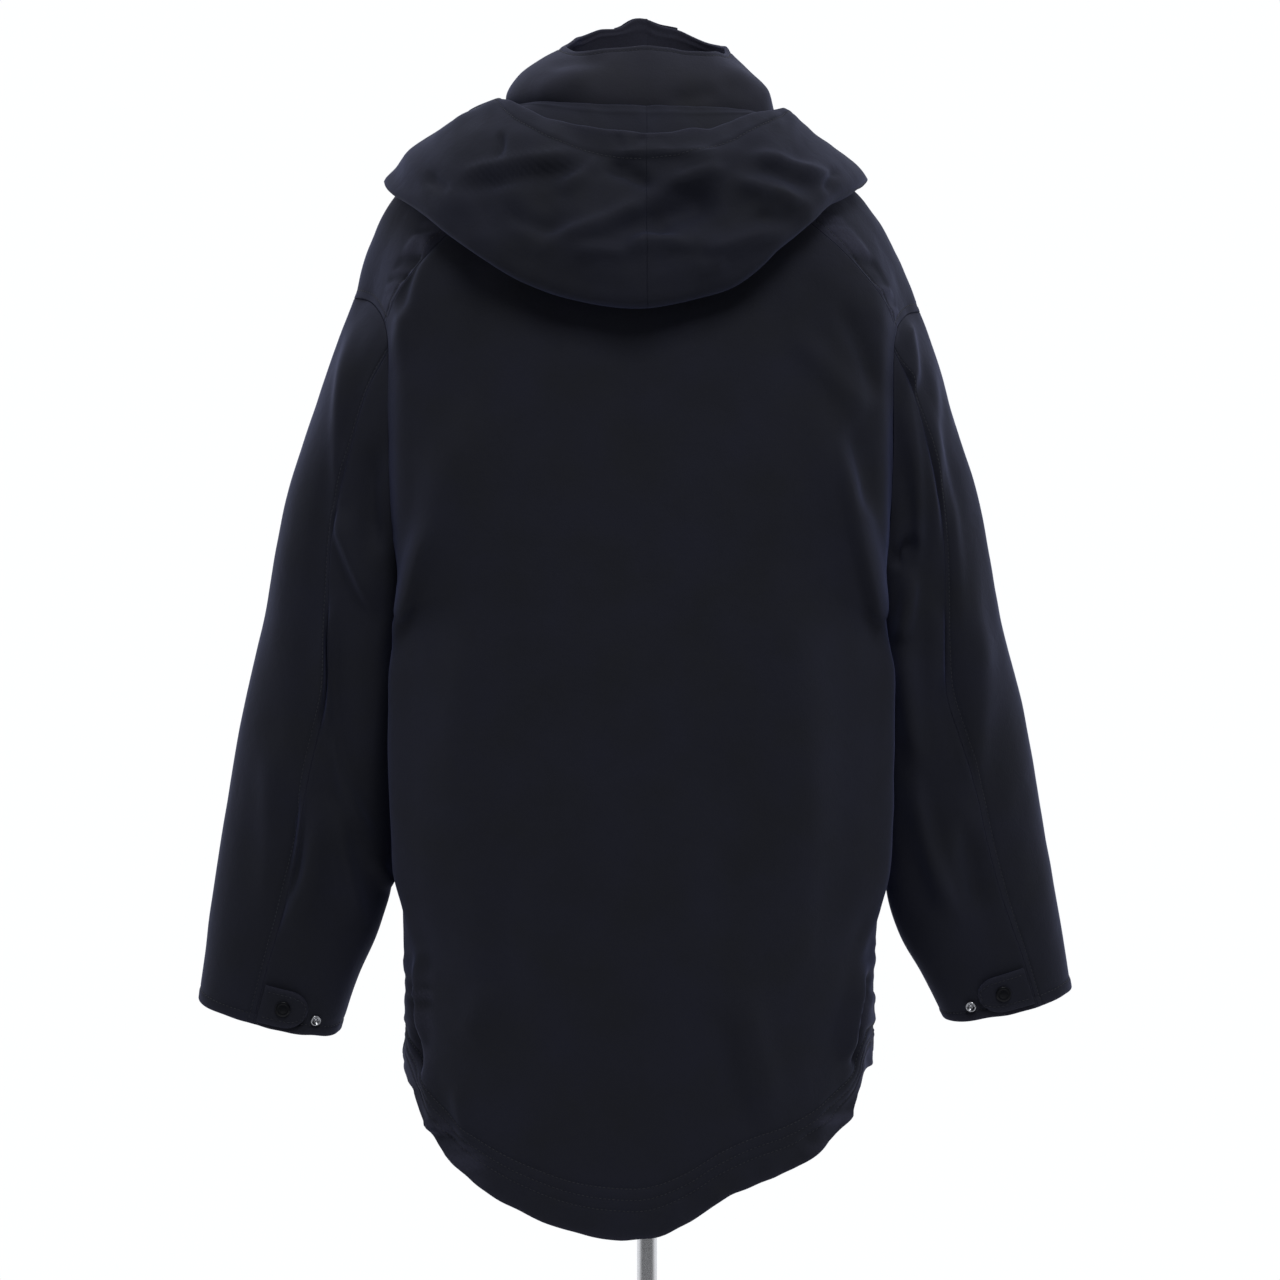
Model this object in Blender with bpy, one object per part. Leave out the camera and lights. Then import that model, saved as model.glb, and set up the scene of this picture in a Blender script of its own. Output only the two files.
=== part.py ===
"""Hooded, padded, thigh-length jacket hanging on a limbless dress form with a pole and a round base.

Metres, +Z up. The jacket's front faces -Y and the wearer's left is +X. The origin is the middle of
the underside of the base. Every cloth piece is a grid of points on one of the garment's surfaces,
cut at its seams and given a wall to its inner side.
"""
import math
from collections import namedtuple

import bpy
import numpy as np

# ---- Driving dimensions -------------------------------------------------------------------
CLOTH = 0.0030            # wall of the padded cloth
TAB_CLOTH = 0.0022        # wall of the cuff tabs
FLAP_CLOTH = 0.0026       # wall of the storm flap
SEAM = 0.0003             # gap between two pieces that are sewn together
LAP = 0.0006              # gap below a cuff tab
FLAP_LAP = 0.0008         # gap below the storm flap
RIM_ORDER = (0.31, 0.57, 0.76)  # two walls at a seam are split alike, by their order this way

NECK_BACK = 0.0800        # neckline behind and before the middle
NECK_FRONT = -0.0980
NECK_BACK_HEIGHT = 1.4520
NECK_FRONT_HEIGHT = 1.4260

UNDERARM_HEIGHT = 1.0300
ARMHOLE_DEPTH = 0.0740    # how far the armhole reaches behind and before the shoulder seam
ROOF_EDGE_HEIGHT = 1.2600  # armhole height where the rounded shoulder ends
ROOF_BACK_HEIGHT = 1.3300
ROOF_FRONT_HEIGHT = 1.3000
YOKE_SEAM = 0.70          # share of the rounded shoulder that the yoke covers

SHOULDER_COLUMNS = 5      # cloth columns from the neck to the armhole
NECK_COLUMNS = 5          # from the middle of the neck to its side
ROOF_ROWS = (0.0, 0.25, 0.48, YOKE_SEAM, 0.86, 1.0)
ARMHOLE_ROWS = 5          # from the roof's edge to the underarm
SKIRT_ROWS = 11           # from the underarm to the hem
SLEEVE_RINGS = 13
SIDE_SEAM = 0.190         # half width at which the hems meet at the side seams

COLLAR_ROWS = 4
COLLAR_LEAN = 0.25        # upward share of the way in which the collar's cloth swells

# shares of half the hood's outer fold, from its front end to its centre seam, one for each column
HOOD_TURNS = (0.0, 0.07, 0.14, 0.22, 0.30, 0.36, 0.42, 0.48, 0.54, 0.60, 0.66, 0.73, 0.81, 0.90, 1.0)
HOOD_ROWS = 16            # from the neck edge under the hood, round its fold and up to the rim
HOOD_START = 0.30         # share of the half neckline, from the front, that has no hood
HOOD_FOLD_SIDE = 0.44     # share of a hood strip at which it starts to turn up round its fold
HOOD_LAYERS = 0.0145      # least height of the upper layer's outside over the jacket

FLAP_HALF_WIDTH = 0.0290
FLAP_SIDE_COLUMNS = 2
SNAP_RADIUS = 0.0065
SNAP_HEIGHT = 0.0028
SOCKET_RADIUS = 0.0046
SOCKET_HEIGHT = 0.0022
SNAP_SIDES = 16

TAB_HALF_WIDTH = 0.0165
TAB_RISE = 0.0205         # from the cuff's edge to the middle of the tab
SOCKET_RISE = 0.0150

POLE_RADIUS = 0.0085
POLE_SIDES = 24
BASE_RADIUS = 0.1600
BASE_EDGE = 0.0030
BASE_THICKNESS = 0.0100
BASE_SIDES = 48
HUB_RADIUS = 0.0220
HUB_HEIGHT = 0.0480
BORE_DEPTH = 0.0320
FORM_SIDES = 24
FORM_BOTTOM = 0.7600
FORM_SHOULDER = 1.3640    # rings are evenly spaced up to here
FORM_WAIST_RINGS = 13
FORM_CAP_RISE = 0.0080

# ---- Tables: one row for each section, fold or place --------------------------------------
Shoulder = namedtuple("Shoulder", "share out height")
LEFT_SHOULDER = (         # from the side of the neck to the dropped armhole
    Shoulder(0.00, 0.1180, 1.4640),
    Shoulder(0.25, 0.1600, 1.4440),
    Shoulder(0.50, 0.1980, 1.4160),
    Shoulder(0.75, 0.2290, 1.3720),
    Shoulder(1.00, 0.2490, 1.3100),
)
RIGHT_SHOULDER = (
    Shoulder(0.00, 0.1120, 1.4520),
    Shoulder(0.25, 0.1480, 1.4260),
    Shoulder(0.50, 0.1810, 1.3960),
    Shoulder(0.75, 0.2090, 1.3540),
    Shoulder(1.00, 0.2320, 1.2980),
)

Body = namedtuple("Body", "height left right back front square")
BODY = (                  # level sections of the body: half widths, depths and squareness
    Body(1.340, 0.2160, 0.2060, 0.1140, -0.1040, 2.4),
    Body(1.260, 0.2150, 0.2050, 0.1210, -0.1150, 2.6),
    Body(1.150, 0.2140, 0.2040, 0.1250, -0.1230, 2.8),
    Body(1.030, 0.2060, 0.1960, 0.1250, -0.1250, 2.9),
    Body(0.900, 0.2060, 0.1950, 0.1240, -0.1250, 2.9),
    Body(0.820, 0.2080, 0.1960, 0.1230, -0.1250, 2.8),
    Body(0.745, 0.2060, 0.1930, 0.1220, -0.1250, 2.6),
    Body(0.700, 0.2050, 0.1930, 0.1210, -0.1250, 2.5),
    Body(0.650, 0.2050, 0.1890, 0.1200, -0.1250, 2.7),
    Body(0.530, 0.2000, 0.1840, 0.1170, -0.1250, 2.7),
)

Hem = namedtuple("Hem", "out height")
BACK_HEM = (              # the back's fishtail, from the wearer's right to the left
    Hem(-0.2000, 0.6720),
    Hem(-0.1800, 0.6560),
    Hem(-0.1765, 0.6370),
    Hem(-0.1610, 0.6160),
    Hem(-0.1240, 0.5880),
    Hem(-0.0700, 0.5670),
    Hem(-0.0300, 0.5420),
    Hem(0.0100, 0.5290),
    Hem(0.0500, 0.5330),
    Hem(0.1030, 0.5510),
    Hem(0.1400, 0.5720),
    Hem(0.1700, 0.5990),
    Hem(0.1870, 0.6250),
    Hem(0.1930, 0.6400),
    Hem(0.2100, 0.6720),
)
FRONT_HEM = (
    Hem(-0.2000, 0.6720),
    Hem(-0.1300, 0.6620),
    Hem(0.0000, 0.6560),
    Hem(0.1300, 0.6620),
    Hem(0.2100, 0.6720),
)

Fold = namedtuple("Fold", "across top reach bottom width rise")
BACK_FOLDS = (            # from (across, top) to (reach, bottom): cloth from the middle, and height
    Fold(0.218, 1.045, 0.222, 0.780, 0.024, 0.0195),
    Fold(0.160, 1.200, 0.206, 1.050, 0.026, 0.0070),
    Fold(0.140, 1.330, 0.160, 1.180, 0.024, -0.0050),
    Fold(-0.212, 1.035, -0.216, 0.780, 0.024, 0.0200),
    Fold(-0.150, 1.220, -0.200, 1.050, 0.026, 0.0070),
    Fold(-0.120, 1.310, -0.150, 1.180, 0.024, -0.0050),
)
FRONT_FOLDS = (
    Fold(0.218, 1.040, 0.222, 0.780, 0.024, 0.0130),
    Fold(-0.212, 1.030, -0.216, 0.780, 0.024, 0.0120),
    Fold(0.160, 1.160, 0.204, 1.040, 0.026, 0.0050),
    Fold(-0.150, 1.190, -0.196, 1.050, 0.026, 0.0050),
    Fold(0.120, 0.900, 0.150, 0.690, 0.024, -0.0050),
    Fold(-0.110, 0.880, -0.150, 0.680, 0.024, -0.0060),
)

Sleeve = namedtuple("Sleeve", "along out out_height inner inner_height middle deep pitch")
LEFT_SLEEVE = (           # tilted rings: outer point, inner point, middle and half depth in Y, pitch
    Sleeve(0.00, 0.2490, 1.3100, 0.2060, 1.0300, 0.000, 0.0740, 0.00),
    Sleeve(0.10, 0.2690, 1.2560, 0.2100, 0.9950, -0.002, 0.0690, 0.00),
    Sleeve(0.25, 0.2950, 1.1750, 0.2120, 0.9500, -0.006, 0.0640, 0.02),
    Sleeve(0.45, 0.3220, 1.0590, 0.2140, 0.8950, -0.012, 0.0590, 0.05),
    Sleeve(0.65, 0.3475, 0.9480, 0.2160, 0.8450, -0.019, 0.0550, 0.09),
    Sleeve(0.80, 0.3630, 0.8580, 0.2210, 0.7960, -0.025, 0.0510, 0.13),
    Sleeve(0.90, 0.3745, 0.7860, 0.2420, 0.7460, -0.030, 0.0480, 0.16),
    Sleeve(1.00, 0.3850, 0.7150, 0.2640, 0.6860, -0.034, 0.0450, 0.20),
)
RIGHT_SLEEVE = (
    Sleeve(0.00, 0.2320, 1.2980, 0.1960, 1.0300, 0.000, 0.0740, 0.00),
    Sleeve(0.10, 0.2510, 1.2460, 0.1990, 0.9950, -0.002, 0.0690, 0.00),
    Sleeve(0.25, 0.2735, 1.1620, 0.2000, 0.9500, -0.006, 0.0640, 0.02),
    Sleeve(0.45, 0.2985, 1.0520, 0.2010, 0.8950, -0.012, 0.0590, 0.05),
    Sleeve(0.65, 0.3245, 0.9450, 0.2030, 0.8450, -0.019, 0.0550, 0.09),
    Sleeve(0.80, 0.3405, 0.8580, 0.2070, 0.7920, -0.025, 0.0500, 0.13),
    Sleeve(0.90, 0.3530, 0.7900, 0.2300, 0.7460, -0.030, 0.0460, 0.16),
    Sleeve(1.00, 0.3640, 0.7240, 0.2540, 0.6970, -0.034, 0.0420, 0.18),
)

# a turn is a share of the way round a sleeve: 0 outer, 0.25 back, 0.5 inner, 0.75 front
SleeveFold = namedtuple("SleeveFold", "start turn end reach width rise")
LEFT_SLEEVE_FOLDS = (
    SleeveFold(0.04, 0.10, 0.55, 0.13, 0.018, 0.0050),
    SleeveFold(0.30, 0.24, 0.62, 0.30, 0.020, -0.0060),
    SleeveFold(0.55, 0.20, 0.90, 0.30, 0.018, 0.0060),
    SleeveFold(0.50, 0.70, 0.85, 0.62, 0.020, -0.0060),
)
RIGHT_SLEEVE_FOLDS = (
    SleeveFold(0.06, 0.16, 0.60, 0.17, 0.018, 0.0060),
    SleeveFold(0.10, 0.24, 0.50, 0.25, 0.018, -0.0060),
    SleeveFold(0.60, 0.24, 0.88, 0.34, 0.016, 0.0060),
    SleeveFold(0.50, 0.68, 0.85, 0.60, 0.020, -0.0060),
)
Seams = namedtuple("Seams", "along back front")
LEFT_SEAMS = (            # turns of the sleeve's two seams along its length
    Seams(0.00, 0.22, 0.80),
    Seams(0.35, 0.25, 0.78),
    Seams(0.75, 0.24, 0.78),
    Seams(1.00, 0.225, 0.78),
)
RIGHT_SEAMS = (
    Seams(0.00, 0.22, 0.80),
    Seams(0.35, 0.25, 0.78),
    Seams(0.75, 0.21, 0.78),
    Seams(1.00, 0.180, 0.78),
)
BACK_SEAM_COLUMN = 5      # ring columns that carry the two seams
FRONT_SEAM_COLUMN = 16

Cuff = namedtuple("Cuff", "tab_start tab_end cap socket")
LEFT_CUFF = Cuff(0.232, 0.342, 0.285, 0.368)     # turns round the cuff
RIGHT_CUFF = Cuff(0.188, 0.318, 0.256, 0.345)

Collar = namedtuple("Collar", "turn out deep height swell")
LEFT_COLLAR = (           # top edge from the front middle (0) over the side (0.5) to the back (1)
    Collar(0.00, 0.0000, -0.0820, 1.5620, 0.004),
    Collar(0.25, 0.0500, -0.0640, 1.5480, 0.007),
    Collar(0.50, 0.0680, -0.0100, 1.5280, 0.017),
    Collar(0.75, 0.0540, 0.0420, 1.5150, 0.013),
    Collar(1.00, 0.0000, 0.0620, 1.5140, 0.007),
)
RIGHT_COLLAR = (
    Collar(0.00, 0.0000, -0.0820, 1.5620, 0.004),
    Collar(0.25, 0.0460, -0.0660, 1.5400, 0.005),
    Collar(0.50, 0.0690, -0.0120, 1.5250, 0.007),
    Collar(0.75, 0.0580, 0.0420, 1.5120, 0.008),
    Collar(1.00, 0.0000, 0.0620, 1.5140, 0.007),
)

Hood = namedtuple("Hood", "turn out deep height puff rim neck")
LEFT_HOOD = (             # outer fold from front to back, loft, the rim's reach, rise of the neck edge
    Hood(0.00, 0.1180, -0.0860, 1.4200, 0.000, 0.28, 0.000),
    Hood(0.10, 0.1560, -0.0640, 1.4200, 0.003, 0.20, 0.000),
    Hood(0.24, 0.1900, -0.0350, 1.4100, 0.004, 0.16, 0.001),
    Hood(0.41, 0.2100, 0.0000, 1.3990, 0.005, 0.14, 0.001),
    Hood(0.54, 0.1900, 0.0680, 1.3750, 0.012, 0.19, 0.004),
    Hood(0.70, 0.1450, 0.1050, 1.3400, 0.020, 0.29, 0.008),
    Hood(0.84, 0.0850, 0.1170, 1.3020, 0.023, 0.34, 0.009),
    Hood(1.00, 0.0000, 0.1210, 1.2880, 0.025, 0.36, 0.009),
)
RIGHT_HOOD = (
    Hood(0.00, 0.1120, -0.0870, 1.4200, 0.000, 0.28, 0.000),
    Hood(0.10, 0.1390, -0.0640, 1.4200, 0.001, 0.20, 0.000),
    Hood(0.24, 0.1620, -0.0350, 1.4120, 0.001, 0.16, 0.000),
    Hood(0.41, 0.1770, 0.0000, 1.4030, 0.003, 0.14, 0.000),
    Hood(0.54, 0.1610, 0.0680, 1.3850, 0.008, 0.18, 0.002),
    Hood(0.70, 0.1180, 0.1050, 1.3480, 0.020, 0.28, 0.007),
    Hood(0.84, 0.0600, 0.1170, 1.3020, 0.023, 0.34, 0.009),
    Hood(1.00, 0.0000, 0.1210, 1.2880, 0.025, 0.36, 0.009),
)
HoodStrip = namedtuple("HoodStrip", "share stand")
HOOD_STRIP = (            # height of the hood's under layer over the jacket, from its neck edge out
    HoodStrip(0.00, 0.0026),
    HoodStrip(0.14, 0.0030),
    HoodStrip(0.30, 0.0052),
    HoodStrip(1.00, 0.0052),
)
HOOD_NECK_SHARE = 0.14    # share of a strip over which the risen neck edge comes down
HOOD_FOLDS = (            # on the hood's upper layer, in metres across and height
    Fold(0.157, 1.399, 0.037, 1.416, 0.011, 0.0060),
    Fold(0.037, 1.416, -0.150, 1.402, 0.011, 0.0060),
    Fold(-0.040, 1.397, -0.138, 1.373, 0.012, 0.0040),
    Fold(0.098, 1.340, -0.004, 1.380, 0.014, 0.0060),
    Fold(0.010, 1.354, -0.060, 1.380, 0.016, -0.0070),
    Fold(0.074, 1.334, -0.112, 1.340, 0.012, 0.0050),
)

FLAP_SNAP_HEIGHTS = (1.500, 1.395, 1.260, 1.125, 0.990, 0.855, 0.720)

Form = namedtuple("Form", "height wide back front")
FORM = (                  # the dress form's level sections
    Form(FORM_BOTTOM, 0.1500, 0.0880, -0.0860),
    Form(0.8300, 0.1580, 0.0960, -0.0880),
    Form(0.9200, 0.1480, 0.0880, -0.0860),
    Form(1.0400, 0.1300, 0.0780, -0.0820),
    Form(1.1600, 0.1480, 0.0900, -0.0960),
    Form(1.2600, 0.1660, 0.0960, -0.0960),
    Form(1.3400, 0.1740, 0.0860, -0.0800),
    Form(1.3800, 0.1770, 0.0720, -0.0680),
    Form(1.3990, 0.1701, 0.0640, -0.0620),
    Form(1.4130, 0.1561, 0.0580, -0.0580),
    Form(1.4270, 0.1310, 0.0520, -0.0550),
    Form(1.4380, 0.1090, 0.0490, -0.0530),
    Form(1.4480, 0.0880, 0.0470, -0.0520),
    Form(1.4600, 0.0680, 0.0450, -0.0510),
    Form(1.4720, 0.0570, 0.0440, -0.0500),
    Form(1.4900, 0.0540, 0.0430, -0.0490),
)

# ---- Finishes: colour, roughness and metallic value ----------------------------------------
SHELL = ((0.0110, 0.0122, 0.0200, 1.0), 0.85, 0.0)
SNAP = ((0.0060, 0.0070, 0.0120, 1.0), 0.35, 0.0)
SOCKET = ((0.6200, 0.6300, 0.6500, 1.0), 0.25, 1.0)
CHROME = ((0.7500, 0.7600, 0.7800, 1.0), 0.12, 1.0)
FORM_COVER = ((0.6000, 0.5600, 0.5000, 1.0), 0.80, 0.0)


def material(name, colour, roughness, metallic):
    """One finish for one piece."""
    made = bpy.data.materials.new(name)
    made.use_nodes = True
    shader = made.node_tree.nodes["Principled BSDF"]
    shader.inputs["Base Color"].default_value = colour
    shader.inputs["Roughness"].default_value = roughness
    shader.inputs["Metallic"].default_value = metallic
    return made


def add_object(name, points, faces, finish):
    """Makes one named object from points and faces."""
    mesh = bpy.data.meshes.new(name)
    mesh.from_pydata([tuple(point) for point in points], [], faces)
    mesh.shade_smooth()
    mesh.set_sharp_from_angle(angle=math.radians(40))
    mesh.materials.append(material(name + "_finish", *finish))
    made = bpy.data.objects.new(name, mesh)
    bpy.context.scene.collection.objects.link(made)
    return made


# ---- Reading the tables --------------------------------------------------------------------
def smooth(at, knots, values):
    """A curve through the rows of a table that doesn't overshoot between two rows."""
    knots = np.asarray(knots, float)
    values = np.asarray(values, float)
    if knots[0] > knots[-1]:
        knots = knots[::-1]
        values = values[::-1]
    step = np.diff(knots)
    slope = np.diff(values) / step
    tangent = np.zeros_like(values)
    same_way = slope[:-1] * slope[1:] > 0
    total = slope[:-1] + slope[1:]
    tangent[1:-1][same_way] = 2 * (slope[:-1] * slope[1:])[same_way] / total[same_way]
    tangent[0] = slope[0]
    tangent[-1] = slope[-1]
    at = np.clip(at, knots[0], knots[-1])
    k = np.clip(np.searchsorted(knots, at) - 1, 0, len(step) - 1)
    s = (at - knots[k]) / step[k]
    rise = s * s * (3 - 2 * s)
    leave = s * (1 - s) ** 2 * step[k] * tangent[k]
    arrive = s * s * (s - 1) * step[k] * tangent[k + 1]
    return (1 - rise) * values[k] + rise * values[k + 1] + leave + arrive


def read(table, name, at):
    """The named column of a table, read smoothly at values of its first column."""
    knots = [row[0] for row in table]
    return smooth(at, knots, [getattr(row, name) for row in table])


def ease(value):
    """0 below 0, 1 above 1, and a soft rise between."""
    value = np.clip(value, 0, 1)
    return value * value * (3 - 2 * value)


# ---- Curves and grids ----------------------------------------------------------------------
def lengths(points):
    """Distance along a row of points, from 0."""
    steps = np.linalg.norm(np.diff(points, axis=0), axis=1)
    return np.concatenate([[0.0], np.cumsum(steps)])


def along(points, shares):
    """Points at the given shares of a curve's length."""
    run = lengths(points)
    at = np.asarray(shares) * run[-1]
    return np.stack([np.interp(at, run, points[:, axis]) for axis in range(3)], axis=1)


def unit(vectors):
    """Vectors of length one."""
    return vectors / np.maximum(np.linalg.norm(vectors, axis=-1, keepdims=True), 1e-12)


def normals_of(grid, outwards):
    """Normals of a grid of points, on the side of the given rough direction at its middle."""
    normals = unit(np.cross(np.gradient(grid, axis=0), np.gradient(grid, axis=1)))
    middle = normals[grid.shape[0] // 2, grid.shape[1] // 2]
    return normals if np.dot(middle, outwards) > 0 else -normals


def soften(normals, times):
    """Normals averaged with their neighbours on the grid, a number of times."""
    for _ in range(times):
        for axis in (0, 1):
            ends = [normals.take([0], axis), normals, normals.take([-1], axis)]
            wide = np.concatenate(ends, axis=axis)
            size = normals.shape[axis]
            normals = sum(wide.take(range(step, step + size), axis) for step in range(3))
        normals = unit(normals)
    return normals


def grid_at(grid, row, col):
    """Points of a grid at fractional rows and columns, straight between its own points."""
    r = np.clip(np.floor(row).astype(int), 0, grid.shape[0] - 2)
    c = np.clip(np.floor(col).astype(int), 0, grid.shape[1] - 2)
    u = (row - r)[..., None]
    v = (col - c)[..., None]
    near = grid[r, c] * (1 - v) + grid[r, c + 1] * v
    far = grid[r + 1, c] * (1 - v) + grid[r + 1, c + 1] * v
    return near * (1 - u) + far * u


def fold_lift(folds, across, height):
    """Lift of soft straight ridges and troughs, each a bell in its width that fades at its ends."""
    lift = np.zeros_like(across)
    for fold in folds:
        run = np.array([fold.reach - fold.across, fold.bottom - fold.top])
        reach = np.hypot(*run)
        run = run / reach
        right = across - fold.across
        up = height - fold.top
        ahead = (right * run[0] + up * run[1]) / reach
        aside = right * run[1] - up * run[0]
        fade = ease(np.minimum(ahead, 1 - ahead) / 0.28 + 0.35)
        lift += fold.rise * fade * np.exp(-((aside / fold.width) ** 2))
    return lift


# ---- The body -------------------------------------------------------------------------------
def top_line(side, facing):
    """Half of the top edge, from the middle of the neck to the armhole; facing is 1 at the back."""
    angle = np.linspace(0, math.pi / 2, NECK_COLUMNS * 8 + 1)
    deep = NECK_BACK if facing > 0 else NECK_FRONT
    table = LEFT_SHOULDER if side > 0 else RIGHT_SHOULDER
    drop = table[0].height - (NECK_BACK_HEIGHT if facing > 0 else NECK_FRONT_HEIGHT)
    neck = np.stack([
        side * table[0].out * np.sin(angle),
        deep * np.cos(angle),
        table[0].height - drop * np.cos(angle) ** 2,
    ], axis=1)
    neck[-1, 1] = 0.0
    share = np.linspace(0, 1, SHOULDER_COLUMNS * 8 + 1)
    shoulder = np.stack([
        side * read(table, "out", share),
        np.zeros_like(share),
        read(table, "height", share),
    ], axis=1)
    neck_row = along(neck, np.linspace(0, 1, NECK_COLUMNS + 1))
    shoulder_row = along(shoulder, np.linspace(0, 1, SHOULDER_COLUMNS + 1))
    return np.concatenate([neck_row, shoulder_row[1:]])


def section(edge, middle, square, shares):
    """A rounded-square arc from a panel's middle to its edge, at the given shares of its length."""
    angle = np.linspace(0, math.pi / 2, 120)
    power = 2 / square
    wide = np.sin(angle) ** power
    deep = np.clip(np.cos(angle), 0, 1) ** power
    arc = np.stack([
        middle[0] + (edge[0] - middle[0]) * wide,
        edge[1] + (middle[1] - edge[1]) * deep,
        middle[2] + (edge[2] - middle[2]) * np.sin(angle) ** 2,
    ], axis=1)
    return along(arc, shares)


def body_quarter(side, facing):
    """A quarter of the body: rows from the top edge to the hem, columns from the middle out."""
    shares = np.linspace(0, 1, NECK_COLUMNS + SHOULDER_COLUMNS + 1)
    width = "left" if side > 0 else "right"
    depth = "back" if facing > 0 else "front"
    roof_middle = ROOF_BACK_HEIGHT if facing > 0 else ROOF_FRONT_HEIGHT
    hem = BACK_HEM if facing > 0 else FRONT_HEM

    def level(edge_height, deep, middle_height):
        edge = (side * read(BODY, width, edge_height), deep, edge_height)
        middle = (0.0, read(BODY, depth, middle_height), middle_height)
        return section(edge, middle, read(BODY, "square", middle_height), shares)

    top = top_line(side, facing)
    base = level(ROOF_EDGE_HEIGHT, facing * ARMHOLE_DEPTH, roof_middle)
    rows = []
    for share in ROOF_ROWS:
        turn = share * math.pi / 2
        rows.append(top + (base - top) * np.array([math.sin(turn), math.sin(turn), 1 - math.cos(turn)]))
    for k in range(1, ARMHOLE_ROWS + 1):
        turn = k / ARMHOLE_ROWS * math.pi / 2
        edge_height = ROOF_EDGE_HEIGHT + (UNDERARM_HEIGHT - ROOF_EDGE_HEIGHT) * math.sin(turn) ** 0.8
        deep = facing * ARMHOLE_DEPTH * max(math.cos(turn), 0.0) ** 0.8 if k < ARMHOLE_ROWS else 0.0
        middle_height = roof_middle + (UNDERARM_HEIGHT - roof_middle) * k / ARMHOLE_ROWS
        rows.append(level(edge_height, deep, middle_height))
    waist = rows[-1]
    hem_side = read(FRONT_HEM, "height", side * SIDE_SEAM)
    for k in range(1, SKIRT_ROWS + 1):
        drop = k / SKIRT_ROWS
        edge_height = UNDERARM_HEIGHT + (hem_side - UNDERARM_HEIGHT) * drop
        middle_height = UNDERARM_HEIGHT + (read(hem, "height", 0.0) - UNDERARM_HEIGHT) * drop
        row = level(edge_height, 0.0, middle_height)
        hem_height = read(hem, "height", row[:, 0])
        hem_height[-1] = hem_side
        row[:, 2] = waist[:, 2] + (hem_height - waist[:, 2]) * drop
        rows.append(row)
    return np.array(rows)


def body_grid(facing, folds):
    """The whole back, or both fronts: columns run from the wearer's left to the wearer's right."""
    left = body_quarter(1, facing)
    right = body_quarter(-1, facing)
    grid = np.concatenate([left[:, ::-1], right[:, 1:]], axis=1)
    out = soften(normals_of(grid, (0, facing, 0)), 4)
    middle = grid.shape[1] // 2
    across = np.zeros(grid.shape[:2])
    across[:, 1:] = np.cumsum(np.linalg.norm(np.diff(grid, axis=1), axis=2), axis=1)
    across = across[:, middle:middle + 1] - across
    row = np.arange(grid.shape[0])[:, None] / (len(ROOF_ROWS) - 1)
    col = np.abs(np.linspace(-1, 1, grid.shape[1]))[None, :]
    free = ease(row - 0.4) * ease((1 - col) / 0.22)
    if facing < 0:
        free = free * ease(col / 0.25 - 0.3)
    lift = fold_lift(folds, across, grid[:, :, 2]) * free
    return grid + out * lift[:, :, None]


# ---- Sleeves ---------------------------------------------------------------------------------
def armhole_loop(back, front, side):
    """The armhole from the shoulder down the back edge to the underarm and up the front edge."""
    last = len(ROOF_ROWS) - 1 + ARMHOLE_ROWS
    edge = 0 if side > 0 else -1
    down = back[:last + 1, edge]
    up = front[:last + 1, edge][::-1]
    return np.concatenate([down, up[1:-1]])


def sleeve_ring(table, side, share, turns):
    """One tilted ring of a sleeve, a rounded oval from its outer point over its back."""
    row = {name: float(read(table, name, share)) for name in Sleeve._fields[1:]}
    outer = np.array([side * row["out"], row["middle"], row["out_height"]])
    inner = np.array([side * row["inner"], row["middle"], row["inner_height"]])
    angle = np.linspace(0, 2 * math.pi, 241)
    power = 2 / 2.3
    wide = np.sign(np.cos(angle)) * np.abs(np.cos(angle)) ** power
    deep = np.sign(np.sin(angle)) * np.abs(np.sin(angle)) ** power * row["deep"]
    loop = (outer + inner) / 2 + (outer - inner) / 2 * wide[:, None]
    loop = loop + np.stack([0 * deep, deep, -row["pitch"] * deep], axis=1)
    return along(loop, turns)


def sleeve_grid(table, seams, folds, side, loop):
    """Rings from the armhole to the cuff, their normals and the turn of every point."""
    count = len(loop)
    closed = np.concatenate([loop, loop[:1]])
    armhole_turns = (lengths(closed) / lengths(closed)[-1])[:-1]
    rings = [loop]
    turns = [armhole_turns]
    for k in range(1, SLEEVE_RINGS + 1):
        share = k / SLEEVE_RINGS
        marks = [0, BACK_SEAM_COLUMN, FRONT_SEAM_COLUMN, count]
        seam_turns = np.interp(np.arange(count), marks,
                               [0, read(seams, "back", share), read(seams, "front", share), 1])
        mixed = armhole_turns + (seam_turns - armhole_turns) * min(1.0, share * 2.2)
        settle = max(0.0, 1 - share * 5)
        ring = sleeve_ring(table, side, share, mixed)
        rings.append(ring * (1 - settle) + loop * settle)
        turns.append(mixed)
    grid = np.array(rings)
    turns = np.array(turns)
    around = np.concatenate([grid[:, -1:], grid, grid[:, :1]], axis=1)
    out = unit(np.cross(np.gradient(around, axis=0), np.gradient(around, axis=1)))[:, 1:-1]
    if np.sum(out * (grid - grid.mean(axis=1, keepdims=True))) < 0:
        out = -out
    girth = np.array([lengths(ring)[-1] for ring in around[:, 1:]])[:, None]
    share = np.arange(len(grid))[:, None] / SLEEVE_RINGS
    lift = np.zeros_like(turns)
    for fold in folds:
        ahead = (share - fold.start) / (fold.end - fold.start)
        aim = fold.turn + (fold.reach - fold.turn) * ahead
        gap = (turns - aim + 0.5) % 1.0 - 0.5
        fade = ease(np.minimum(ahead, 1 - ahead) / 0.3 + 0.3)
        lift += fold.rise * fade * np.exp(-((gap * girth / fold.width) ** 2))
    lift = lift * ease(share / 0.10) * ease((1 - share) / 0.10)
    return grid + out * lift[:, :, None], out, turns


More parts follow.
